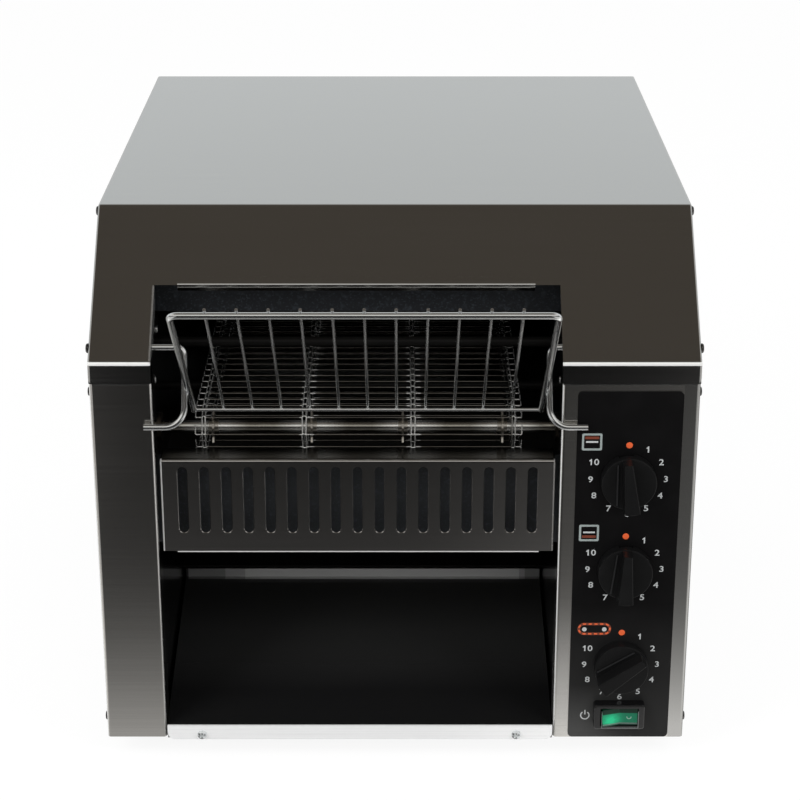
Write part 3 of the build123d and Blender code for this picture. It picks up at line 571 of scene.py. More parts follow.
FINISHES: dict[str, Finish] = {
    # Painted highlights along the hood's lower bend and the opening's left edge, and faint painted light low on its
    # front.
    "hood_steel": BrushedSteel("hood_brushed_steel", (0.56, 0.56, 0.55), 0.15, 0.0000012, 0.02, 0.02, bends=(
        Bend(0.85, y=below(-0.1842), z=(0.2703, 0.2721)),
        Bend(0.06, y=below(-0.1850), z=below(0.2582)),
        Bend(0.15, (-0.1480, -0.1468), below(-0.1470), above(0.2727)))),
    # Painted highlights along the columns' edges, and painted light and shade over parts of their fronts.
    "brushed_steel": BrushedSteel("column_brushed_steel", (0.57, 0.56, 0.54), 0.17, bends=(
        Bend(0.8, below(-0.1844), below(-0.1825), below(FLANGE_FOOT)),
        Bend(0.32, (-0.1477, 0.0), COLUMN_FRONT, below(FLANGE_FOOT)),
        Bend(0.8, (0.0, 0.1032), COLUMN_FRONT, below(FLANGE_FOOT)),
        Bend(0.13, (0.0400, 0.1120), COLUMN_FRONT, below(0.0620), 50 * MM),
        Bend(1.0, above(0.1768), COLUMN_FRONT, below(FLANGE_FOOT), tone=0.43))),
    "inner_steel": BrushedSteel("mill_finish_steel", (0.26, 0.26, 0.26), 0.34),
    "light_steel": BrushedSteel("lip_satin_steel", (0.95, 0.955, 0.96), 0.30, metallic=0.3),
    "wall_steel": PolishedSteel("bright_annealed_wall", (0.20, 0.20, 0.21), 0.13),
    # Painted light: the tray's near-black colour stands for the shade in the chamber, lighter towards the back and
    # bottom, with painted reflections along its strip.
    "tray_steel": PolishedSteel(
        "polished_tray", (0.011, 0.011, 0.0113), 0.16, (0.014, 0.0135, 0.012), metallic=0.25, bends=(
            Bend(1.0, y=above(-0.09), z=below(0.054), soft=60 * MM, tone=0.04),
            Bend(0.22, (-0.145, 0.105), z=TRAY_STRIP),
            Bend(0.22, (-0.119, 0.0915), z=TRAY_STRIP),
            Bend(0.35, (-0.105, 0.0875), z=TRAY_STRIP))),
    # Painted shade on the guard's top flange, and painted highlights along its bottom, left and right edges.
    "guard_steel": BrushedSteel("guard_satin_steel", (0.47, 0.46, 0.45), 0.19, bends=(
        Bend(0.9, y=above(-0.1744), z=above(0.2030), tone=0.16),
        Bend(0.7, y=GUARD_FRONT, z=below(0.1422)),
        Bend(0.9, below(-0.1440), GUARD_FRONT),
        Bend(0.4, above(0.0992), GUARD_FRONT))),
    "speckled_steel": SpeckledSheet("speckled_heat_shield", (0.034, 0.037, 0.042), (0.10, 0.115, 0.138)),
    # Painted highlights on the belt's hooks.
    "belt_wire": PolishedSteel(
        "drawn_belt_wire", (0.30, 0.285, 0.26), 0.20, (0.08, 0.07, 0.055), 0.5, dulled=0.15, bends=tuple(
            Bend(1.0, (hook - 4.5 * MM, hook + 3.5 * MM), soft=1.0 * MM, tone=1.0) for hook in HOOKS)),
    # Painted highlights: bright flares on the shaft between its wheels, near the belt's hooks.
    "shaft_steel": PolishedSteel("ground_shaft", (0.36, 0.345, 0.31), 0.18, dulled=0.05, bends=tuple(
        Bend(0.9, (middle - 9 * MM, middle + 9 * MM), soft=14 * MM) for middle in SHAFT_HIGHLIGHTS)),
    "wheel_steel": PolishedSteel("belt_wheel_steel", (0.50, 0.48, 0.44), 0.24, tarnish_share=0.4),
    "bush_bronze": PolishedSteel("oiled_bush", (0.10, 0.085, 0.07), 0.34, (0.05, 0.04, 0.03), 0.5),
    "element_sheath": Moulding("nickel_alloy_sheath", (0.0050, 0.0047, 0.0044), 0.42, 900.0, 0.000004, gloss=0.12),
    "insulator_ceramic": Moulding("steatite_ceramic", (0.70, 0.67, 0.61), 0.55),
    "busbar_brass": PolishedSteel("brass_strip", (0.62, 0.46, 0.20), 0.28, (0.25, 0.17, 0.08), 0.4),
    "sprocket_steel": PolishedSteel("machined_sprocket", (0.42, 0.42, 0.42), 0.30),
    "chain_steel": PolishedSteel("oiled_chain", (0.28, 0.26, 0.24), 0.32, (0.08, 0.06, 0.04), 0.6),
    "motor_zinc": BrushedSteel("die_cast_zinc", (0.50, 0.51, 0.52), 0.45),
    "moulded_black": Moulding("service_black_plastic", (0.020, 0.020, 0.021), 0.48),
    # Painted light: the film lighter towards its bottom, and more so at its bottom left.
    "overlay_black": Moulding("black_panel_film", (0.0048, 0.0046, 0.0048), 0.34, 2200.0, 0.000005, gloss=0.08, bends=(
        Bend(0.8, z=below(0.030), soft=80 * MM, tone=0.026),
        Bend(0.8, below(0.124), z=below(0.020), soft=32 * MM, tone=0.075))),
    "knob_black": Moulding("knob_black_plastic", (0.0066, 0.0066, 0.0068), 0.36, 1600.0, 0.000012, gloss=0.15),
    "switch_black": Moulding("switch_black_plastic", (0.0058, 0.0058, 0.0062), 0.24, 1800.0, 0.000008),
    "rocker_green": LitLens("lit_green_lens", (0.008, 0.075, 0.050), (0.012, 0.46, 0.20), (0.1388, 0.0303), 0.0105,
                            (0.0276, 0.0352), (0.1506, 0.0322)),
    "terminal_white": Moulding("terminal_nylon", (0.70, 0.69, 0.65), 0.45),
    "gland_black": Moulding("gland_nylon", (0.018, 0.018, 0.019), 0.42),
    "rack_chrome": PolishedSteel("bright_plated_wire", (0.82, 0.835, 0.84), 0.08, tarnish_share=0.03, metallic=0.97),
    "foot_rubber": Moulding("black_rubber", (0.018, 0.018, 0.018), 0.70),
    "screw_steel": PolishedSteel("plated_screw", (0.60, 0.61, 0.62), 0.18),
    "dark_screw": PolishedSteel("dark_plated_screw", (0.10, 0.10, 0.10), 0.24),
    # Painted shade: dark patches on each head stand for the shade in its recess.
    "lip_screw": PolishedSteel(
        "bright_plated_screw", (0.80, 0.83, 0.84), 0.16, tarnish_share=0.0, metallic=0.45, bends=tuple(
            Bend(0.85, (x + left * MM, x + right * MM), z=(z + low * MM, z + high * MM), tone=0.03)
            for x, z in LIP_SCREWS for left, right, low, high in LIP_SCREW_SHADE)),
    "burnt_steel": PolishedSteel(
        "heat_darkened_steel", (0.035, 0.033, 0.031), 0.30, (0.02, 0.018, 0.016), 0.5, metallic=0.8),
    "shield_steel": SpeckledSheet(
        "speckled_lower_shield", (0.050, 0.053, 0.057), (0.12, 0.135, 0.155), metallic=0.35),
}
OWN_FINISH = {
    "side_screws": "dark_screw", "lip_screws": "lip_screw", "toast_chute": "burnt_steel",
    "lower_reflector": "burnt_steel", "upper_reflector": "burnt_steel", "front_heat_shield": "shield_steel"}


# --------------------------------------------------------------------------- shared shapes
def dressed(mesh: bpy.types.Mesh, finish: Finish) -> bpy.types.Mesh:
    """Return a mesh that wears one finish alone."""
    mesh.materials.clear()
    mesh.materials.append(make_material(finish))
    return mesh


def placed(name: str, data: bpy.types.ID) -> bpy.types.Object:
    """Return a new object of the scene."""
    thing = bpy.data.objects.new(name, data)
    bpy.context.scene.collection.objects.link(thing)
    return thing


def finish_object(name: str, mesh: bpy.types.Mesh, finish: Finish | None, body: str) -> bpy.types.Object:
    """Place a finished mesh at the origin, dress it and let it ride.

    Args:
        name: The piece's name.
        mesh: A mesh in the frame's own coordinates.
        finish: The finish, or None where the mesh already has its materials.
        body: The body that carries it.

    Returns:
        The new object.
    """
    mesh.name = name
    if finish:
        dressed(mesh, finish)
    piece = placed(name, mesh)
    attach(piece, body)
    LOG.info("%s: %d faces on %s", name, len(mesh.polygons), body)
    return piece


def mesh_of(helper: bpy.types.Object) -> bpy.types.Mesh:
    """Return the evaluated mesh of a helper object, and remove the helper."""
    bpy.context.view_layer.update()
    depsgraph = bpy.context.evaluated_depsgraph_get()
    mesh = bpy.data.meshes.new_from_object(helper.evaluated_get(depsgraph), depsgraph=depsgraph)
    bpy.data.objects.remove(helper)
    return mesh


def joined(name: str, meshes: list[bpy.types.Mesh]) -> bpy.types.Mesh:
    """Join several meshes, keeping each face's material.

    Args:
        name: The new mesh's name.
        meshes: Meshes in the same coordinates, each with one material.

    Returns:
        One mesh.
    """
    materials: list[bpy.types.Material] = []
    points: list[Vector] = []
    faces: list[list[int]] = []
    slots: list[int] = []
    for mesh in meshes:
        material = mesh.materials[0]
        if material not in materials:
            materials.append(material)
        start = len(points)
        points += [vertex.co.copy() for vertex in mesh.vertices]
        for polygon in mesh.polygons:
            faces.append([start + index for index in polygon.vertices])
            slots.append(materials.index(material))
    result = bpy.data.meshes.new(name)
    result.from_pydata(points, [], faces)
    for material in materials:
        result.materials.append(material)
    result.polygons.foreach_set("material_index", slots)
    result.update()
    return result


def filled(outlines: list[list[Pair]], thickness: float) -> bpy.types.Mesh:
    """Return a flat plate inside closed outlines, where an inner outline is a hole.

    Args:
        outlines: Points of each outline.
        thickness: Thickness of the plate, half of it on each side of zero.

    Returns:
        The plate's mesh.
    """
    curve = bpy.data.curves.new("plate", "CURVE")
    curve.dimensions = "2D"
    curve.fill_mode = "BOTH"
    curve.extrude = thickness / 2
    for outline in outlines:
        spline = curve.splines.new("POLY")
        spline.points.add(len(outline) - 1)
        for point, (x, z) in zip(spline.points, outline):
            point.co = (x, z, 0.0, 1.0)
        spline.use_cyclic_u = True
    return mesh_of(placed("plate", curve))


# --------------------------------------------------------------------------- printed overlay
@dataclass
class PrintedMark:
    """One flat printed mark made of closed outlines, on the panel's front."""

    outlines: list[list[Pair]]
    centre: Pair
    ink: Finish
    proud: float = 0.0

    def mesh(self, face_y: float, thickness: float) -> bpy.types.Mesh:
        """Return the mark as a thin filled plate.

        Args:
            face_y: Y of the panel's face.
            thickness: Thickness of the ink.

        Returns:
            A mesh in the frame's coordinates.
        """
        mesh = dressed(filled(self.outlines, thickness), self.ink)
        mesh.transform(upright_at((self.centre[0], face_y - thickness / 2 - self.proud, self.centre[1])))
        return mesh


def upright_at(place: Point) -> Matrix:
    """Return the transform that stands a flat drawing up to face the front, at a place."""
    return Matrix.Translation(Vector(place)) @ Euler((math.pi / 2, 0, 0)).to_matrix().to_4x4()


def rounded_box(width: float, height: float, radius: float, steps: int = 6) -> list[Pair]:
    """Return a rectangle's outline with round corners.

    Args:
        width: Size across.
        height: Size up.
        radius: Radius of the corners.
        steps: Points on each corner's arc, less one.

    Returns:
        The outline's points, anticlockwise.
    """
    points = []
    for corner, (sign_x, sign_z) in enumerate(((1, 1), (-1, 1), (-1, -1), (1, -1))):
        centre = (sign_x * (width / 2 - radius), sign_z * (height / 2 - radius))
        for step in range(steps + 1):
            angle = math.pi / 2 * (corner + step / steps)
            points.append((centre[0] + radius * math.cos(angle), centre[1] + radius * math.sin(angle)))
    return points


def circle(radius: float, steps: int) -> list[Pair]:
    """Return a round outline."""
    return [(radius * math.cos(math.tau * n / steps), radius * math.sin(math.tau * n / steps)) for n in range(steps)]


def arc_band(radius: float, width: float, start: float, end: float, steps: int = 24) -> list[Pair]:
    """Return the outline of a band along an arc, from one angle in degrees to another."""
    angles = [math.radians(start + (end - start) * step / steps) for step in range(steps + 1)]
    outer = [((radius + width / 2) * math.cos(a), (radius + width / 2) * math.sin(a)) for a in angles]
    inner = [((radius - width / 2) * math.cos(a), (radius - width / 2) * math.sin(a)) for a in reversed(angles)]
    return outer + inner


@dataclass
class PanelPrint:
    """The overlay's dots, numerals and pictograms."""

    dials: list[Pair]
    face_y: float
    switch: Pair
    switch_face: float
    ink_thickness: float = 0.05 * MM
    ring: float = 23.1 * MM
    dot_height: float = 22.8 * MM
    dot_radius: float = 2.0 * MM
    numeral_height: float = 4.0 * MM
    numeral_stretch: float = 1.16
    numeral_pitch: float = 3.45 * MM
    positions: int = 10
    nudges: dict[int, Pair] = field(default_factory=lambda: {
        3: (0.1 * MM, 0.3 * MM), 4: (0.1 * MM, 0.8 * MM), 5: (0.2 * MM, 0.65 * MM), 6: (0.2 * MM, 0.0),
        7: (0.2 * MM, 0.5 * MM), 8: (-0.8 * MM, 0.85 * MM), 9: (-0.1 * MM, 0.1 * MM), 10: (-1.5 * MM, 0.1 * MM)})
    step_degrees: float = 30.0
    frame_size: Pair = (12.4 * MM, 11.2 * MM)
    frame_line: float = 1.3 * MM
    frame_corners: Pair = (1.0 * MM, 0.4 * MM)
    hot_bar: Pair = (8.6 * MM, 1.7 * MM)
    bread_bar: Pair = (7.4 * MM, 1.1 * MM)
    bar_corner: float = 0.2 * MM
    mark_x: float = -23.0 * MM
    mark_heights: tuple[float, ...] = (25.0 * MM, 25.1 * MM, 25.4 * MM)
    belt_half: float = 6.4 * MM
    belt_radius: float = 3.45 * MM
    belt_line: float = 1.7 * MM
    belt_shift: float = 5.5 * MM
    belt_dashes: int = 13
    dash_share: Pair = (0.56, 0.55)
    roller_dot: float = 1.45 * MM
    roller_places: Pair = (6.3 * MM, -0.3 * MM)
    power_place: Pair = (-21.5 * MM, -2.2 * MM)
    power_ring: Pair = (2.7 * MM, 0.8 * MM)
    power_bar: Pair = (3.4 * MM, 2.2 * MM)
    cover_gap: float = 0.7 * MM
    cover_top: float = 4.4 * MM
    cover_line: Pair = (0.45 * MM, 0.3 * MM)

    def _digit(self, character: str) -> bpy.types.Mesh:
        """Return one bold digit, flat and centred on the origin."""
        if character == "1":
            outline = [(0.14, -0.5), (0.14, 0.5), (-0.02, 0.5), (-0.10, 0.37), (-0.27, 0.27), (-0.27, 0.10),
                       (-0.06, 0.19), (-0.06, -0.5)]
            height = self.numeral_height
            return filled([[(x * height, z * height) for x, z in outline]], self.ink_thickness)
        curve = bpy.data.curves.new("digit", "FONT")
        curve.body = character
        curve.size = self.numeral_height / 0.70
        curve.offset = 0.07 * MM
        curve.extrude = self.ink_thickness / 2
        mesh = mesh_of(placed("digit", curve))
        low = [min(vertex.co[axis] for vertex in mesh.vertices) for axis in (0, 1)]
        high = [max(vertex.co[axis] for vertex in mesh.vertices) for axis in (0, 1)]
        grow = self.numeral_height / (high[1] - low[1])
        mesh.transform(Matrix.Translation((-(low[0] + high[0]) / 2, -(low[1] + high[1]) / 2, 0)))
        mesh.transform(Matrix.Diagonal((grow * self.numeral_stretch, grow, 1.0, 1.0)))
        return mesh

    def _numeral(self, text: str, centre: Pair) -> list[bpy.types.Mesh]:
        """Return the digits of one numeral, centred at a place on the panel."""
        digits = []
        for index, character in enumerate(text):
            across = (index - (len(text) - 1) / 2) * self.numeral_pitch
            mesh = dressed(self._digit(character), WHITE_INK)
            mesh.transform(upright_at((centre[0] + across, self.face_y - self.ink_thickness / 2, centre[1])))
            digits.append(mesh)
        return digits

    def numerals(self) -> bpy.types.Mesh:
        """Return the numerals round every dial."""
        meshes = []
        for x, z in self.dials:
            for number in range(1, self.positions + 1):
                angle = math.radians(self.step_degrees * number)
                across, up = self.nudges.get(number, (0.0, 0.0))
                place = (x + self.ring * math.sin(angle) + across, z + self.ring * math.cos(angle) + up)
                meshes += self._numeral(str(number), place)
        return joined("overlay_numerals", meshes)

    def dots(self) -> bpy.types.Mesh:
        """Return the round mark above every dial."""
        dot = circle(self.dot_radius, 32)
        marks = [PrintedMark([dot], (x, z + self.dot_height), ORANGE_INK) for x, z in self.dials]
        return joined("overlay_dots", [mark.mesh(self.face_y, self.ink_thickness) for mark in marks])

    def _shelf_mark(self, centre: Pair, hot_above: bool) -> list[PrintedMark]:
        """Return a frame with a bread line and a heat line above or below it."""
        width, height = self.frame_size
        outer = rounded_box(width, height, self.frame_corners[0])
        inner = rounded_box(width - 2 * self.frame_line, height - 2 * self.frame_line, self.frame_corners[1])
        hot_bar = rounded_box(*self.hot_bar, self.bar_corner)
        bar = rounded_box(*self.bread_bar, self.bar_corner)
        hot = (centre[0], centre[1] + (2.7 if hot_above else -2.5) * MM)
        plain = (centre[0], centre[1] + (0.0 if hot_above else 0.4) * MM)
        return [PrintedMark([outer, inner], centre, FRAME_INK), PrintedMark([hot_bar], hot, LINE_INK),
                PrintedMark([bar], plain, WHITE_INK)]

    def _belt_mark(self, centre: Pair) -> list[PrintedMark]:
        """Return a dashed belt loop with two roller dots."""
        half, radius, line = self.belt_half, self.belt_radius, self.belt_line
        length = 4 * half + math.tau * radius
        outline = [rounded_box(2 * (half + radius) + wide, 2 * radius + wide, radius + wide / 2 - 0.01 * MM, 12)
                   for wide in (line, -line)]
        marks = [PrintedMark(outline, centre, LINE_INK)]
        pitch, (share, thin) = length / self.belt_dashes, self.dash_share
        for dash in range(self.belt_dashes):
            outline = [self._loop_dash(pitch * dash, pitch * share, half, radius, line * thin)]
            marks.append(PrintedMark(outline, centre, ORANGE_INK, 0.02 * MM))
        across, up = self.roller_places
        for side in (-1, 1):
            place = (centre[0] + side * across, centre[1] + up)
            marks.append(PrintedMark([circle(self.roller_dot, 20)], place, WHITE_INK))
        return marks

    @staticmethod
    def _loop_dash(middle: float, size: float, half: float, radius: float, line: float) -> list[Pair]:
        """Return one dash of a stadium loop, centred a distance along it."""
        def at(distance: float, offset: float) -> Pair:
            straight, bend = 2 * half, math.pi * radius
            distance %= 2 * (straight + bend)
            flip = -1 if distance >= straight + bend else 1
            distance %= straight + bend
            if distance < straight:
                x, z = distance - half, -(radius + offset)
            else:
                angle = (distance - straight) / radius - math.pi / 2
                x, z = half + (radius + offset) * math.cos(angle), (radius + offset) * math.sin(angle)
            return flip * x, flip * z

        ends = [middle - size / 2 + size * step / 4 for step in range(5)]
        outer = [at(distance, line / 2) for distance in ends]
        inner = [at(distance, -line / 2) for distance in reversed(ends)]
        return outer + inner

    def _power_mark(self) -> list[PrintedMark]:
        """Return the standard power symbol beside the switch."""
        centre = (self.switch[0] + self.power_place[0], self.switch[1] + self.power_place[1])
        radius, line = self.power_ring
        length, rise = self.power_bar
        bar = rounded_box(line, length, 0.3 * MM)
        return [PrintedMark([arc_band(radius, line, 125, 415)], centre, WHITE_INK),
                PrintedMark([bar], (centre[0], centre[1] + rise), WHITE_INK)]

    def pictograms(self) -> bpy.types.Mesh:
        """Return the marks beside the dials and the switch."""
        places = [(x + self.mark_x, z + rise) for (x, z), rise in zip(self.dials, self.mark_heights)]
        marks = self._shelf_mark(places[0], True) + self._shelf_mark(places[1], False)
        marks += self._belt_mark((places[2][0] + self.belt_shift, places[2][1])) + self._power_mark()
        return joined("overlay_pictograms", [mark.mesh(self.face_y, self.ink_thickness) for mark in marks])

    def cover(self) -> bpy.types.Mesh:
        """Return the splash cover's clear edge over the switch, drawn as a flat light line: a real edge whose
        lightness is a painted highlight.
        """
        low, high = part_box("power_rocker")
        centre = ((low.x + high.x) / 2, (low.z + high.z) / 2)
        half, bottom = (high.x - low.x) / 2 + self.cover_gap, low.z - centre[1] - self.cover_gap
        top, (line, thickness) = self.cover_top, self.cover_line
        edge_highlight = [(-half, top), (-half, bottom), (half, bottom), (half, top), (half - line, top),
                (half - line, bottom + line), (line - half, bottom + line), (line - half, top)]
        return PrintedMark([edge_highlight], centre, COVER_EDGE_HIGHLIGHT).mesh(self.switch_face, thickness)

    def build(self) -> None:
        """Make every print and let it ride on the body."""
        for mesh in (self.numerals(), self.dots(), self.pictograms()):
            finish_object(mesh.name, mesh, None, "toaster")
        finish_object("switch_cover_edge", self.cover(), None, "toaster")


@dataclass
class KnobRib:
    """Lighter strip on the rib along one side of a knob's trough: a painted highlight."""

    name: str
    centre: Vector
    turn: float
    body: str
    height: float = 8.75 * MM
    thickness: float = 0.12 * MM
    corners: tuple[Pair, ...] = (
        (-5.5 * MM, 14.0 * MM), (-6.4 * MM, 13.8 * MM), (-9.2 * MM, -12.8 * MM), (-8.3 * MM, -13.2 * MM))

    def build(self) -> None:
        """Lay the lighter strip on the rib's face along the knob and let it ride on the knob."""
        turned = Matrix.Rotation(math.radians(-self.turn), 2)
        outline = [tuple(turned @ Vector(corner)) for corner in self.corners]
        mark = PrintedMark([outline], (self.centre.x, self.centre.z), RIB_HIGHLIGHT)
        finish_object(self.name, mark.mesh(self.centre.y - self.height, self.thickness), None, self.body)


# --------------------------------------------------------------------------- wire belt
@dataclass
class WireBelt:
    """Flat-flex belt: cross wires that hook into each other in columns, round two wheels."""

    front_axis: Vector
    rear_axis: Vector
    span: Pair
    wrap_radius: float = 14.0 * MM
    pitches: int = 30
    wrap_steps: int = 4
    bays: int = 3
    wire_radius: float = 0.42 * MM
    hook_width: float = 2.8 * MM
    edge_width: float = 4.2 * MM
    lift: float = 0.5 * MM
    sides: int = 6
    replaced: tuple[str, ...] = ("belt_upper_run", "belt_lower_run", "belt_nose", "belt_tail")

    @property
    def pitch(self) -> float:
        """Distance between neighbouring cross wires."""
        return (self.rear_axis.y - self.front_axis.y) / self.pitches

    def strand(self) -> bpy.types.Object:
        """Return one cross wire as a line, with its hooks reaching to the next wire."""
        left, right = self.span
        reach = self.pitch + 2 * self.wire_radius
        line = [(left, reach * 0.55, self.lift), (left, 0.0, 0.0), (left + self.edge_width, 0.0, 0.0),
                (left + self.edge_width, reach, self.lift), (left + self.edge_width * 1.45, reach, self.lift),
                (left + self.edge_width * 1.45, 0.0, 0.0)]
        step = (right - left) / self.bays
        for bay in range(1, self.bays):
            x, half = left + step * bay, self.hook_width / 2
            line += [(x - half * 0.7, 0.0, 0.0), (x - half, reach, self.lift),
                     (x + half, reach, self.lift), (x + half * 0.7, 0.0, 0.0)]
        line += [(left + right - x, y, z) for x, y, z in reversed(line[:6])]
        mesh = bpy.data.meshes.new("strand")
        mesh.from_pydata(line, [(n, n + 1) for n in range(len(line) - 1)], [])
        return placed("strand", mesh)

    def loop(self) -> bpy.types.Object:
        """Return the closed line of cross-wire places round both wheels."""
        x = self.front_axis.x
        points = [Vector((x, self.front_axis.y + self.pitch * n, self.front_axis.z + self.wrap_radius))
                  for n in range(self.pitches + 1)]
        turns = [math.pi / 2 - math.pi * n / self.wrap_steps for n in range(1, self.wrap_steps)]
        points += [self.rear_axis + Vector((0, self.wrap_radius * math.cos(a), self.wrap_radius * math.sin(a)))
                   for a in turns]
        points += [Vector((x, self.rear_axis.y - self.pitch * n, self.rear_axis.z - self.wrap_radius))
                   for n in range(self.pitches + 1)]
        points += [self.front_axis - Vector((0, self.wrap_radius * math.cos(a), self.wrap_radius * math.sin(a)))
                   for a in turns]
        mesh = bpy.data.meshes.new("loop")
        count = len(points)
        mesh.from_pydata([(0.0, p.y, p.z) for p in points], [(n, (n + 1) % count) for n in range(count)], [])
        return placed("wire_belt_loop", mesh)

    def tree(self) -> bpy.types.NodeTree:
        """Return the node tree that lays a wire at each place, turned towards the next place."""
        tree = bpy.data.node_groups.new("belt_wires", "GeometryNodeTree")
        sockets = (("Geometry", "INPUT", "NodeSocketGeometry"), ("Strand", "INPUT", "NodeSocketObject"),
                   ("Wire Radius", "INPUT", "NodeSocketFloat"), ("Sides", "INPUT", "NodeSocketInt"),
                   ("Finish", "INPUT", "NodeSocketMaterial"), ("Geometry", "OUTPUT", "NodeSocketGeometry"))
        for name, side, kind in sockets:
            tree.interface.new_socket(name=name, in_out=side, socket_type=kind)
        graph = Graph(tree)
        given = graph.add("NodeGroupInput")
        line, radius = graph.out(given, "Geometry"), graph.out(given, "Wire Radius")
        place = graph.value("GeometryNodeInputPosition")
        index = graph.value("GeometryNodeInputIndex")
        count = graph.value("GeometryNodeAttributeDomainSize", {"Geometry": line}, {"component": "MESH"},
                            "Point Count")
        following = graph.maths("MODULO", index + 1.0, count)
        ahead = graph.value("GeometryNodeFieldAtIndex", {"Index": following, "Value": place},
                            {"data_type": "FLOAT_VECTOR"})
        towards = graph.value("ShaderNodeVectorMath", {0: ahead, 1: place}, {"operation": "SUBTRACT"})
        turn = graph.value("FunctionNodeAlignRotationToVector", {"Vector": towards}, {"axis": "Y", "pivot_axis": "X"})
        wire = graph.value("GeometryNodeObjectInfo", {"Object": graph.out(given, "Strand")},
                           {"transform_space": "RELATIVE"}, "Geometry")
        laid = graph.value("GeometryNodeInstanceOnPoints", {"Points": line, "Instance": wire, "Rotation": turn})
        curve = graph.value("GeometryNodeMeshToCurve", {"Mesh": graph.value(
            "GeometryNodeRealizeInstances", {"Geometry": laid})})
        rounded = graph.value("GeometryNodeFilletCurve", {
            "Curve": curve, "Count": 2, "Limit Radius": True, "Radius": radius * 1.8}, {"mode": "POLY"})
        profile = graph.value("GeometryNodeCurvePrimitiveCircle", {
            "Resolution": graph.out(given, "Sides"), "Radius": radius}, {"mode": "RADIUS"})
        tube = graph.value("GeometryNodeCurveToMesh", {
            "Curve": rounded, "Profile Curve": profile, "Fill Caps": True})
        smooth = graph.value("GeometryNodeSetShadeSmooth", {"Geometry": tube})
        dress = graph.value("GeometryNodeSetMaterial", {
            "Geometry": smooth, "Material": graph.out(given, "Finish")})
        graph.add("NodeGroupOutput", None, {"Geometry": dress})
        return tree

    def build(self) -> None:
        """Make the belt, which stands for the four plain belt nodes."""
        strand = self.strand()
        loop = self.loop()
        tree = self.tree()
        modifier = loop.modifiers.new("belt", "NODES")
        modifier.node_group = tree
        values = {"Strand": strand, "Wire Radius": self.wire_radius, "Sides": self.sides,
                  "Finish": make_material(FINISHES["belt_wire"])}
        for item in tree.interface.items_tree:
            if item.in_out == "INPUT" and item.name in values:
                modifier[item.identifier] = values[item.name]
        mesh = mesh_of(loop)
        bpy.data.objects.remove(strand)
        belt = finish_object("wire_belt", mesh, FINISHES["belt_wire"], "toaster")
        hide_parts(*self.replaced)


# --------------------------------------------------------------------------- studio
class Side(Enum):
    """Where a soft light stands, seen from the front."""

    LEFT = -1
    RIGHT = 1


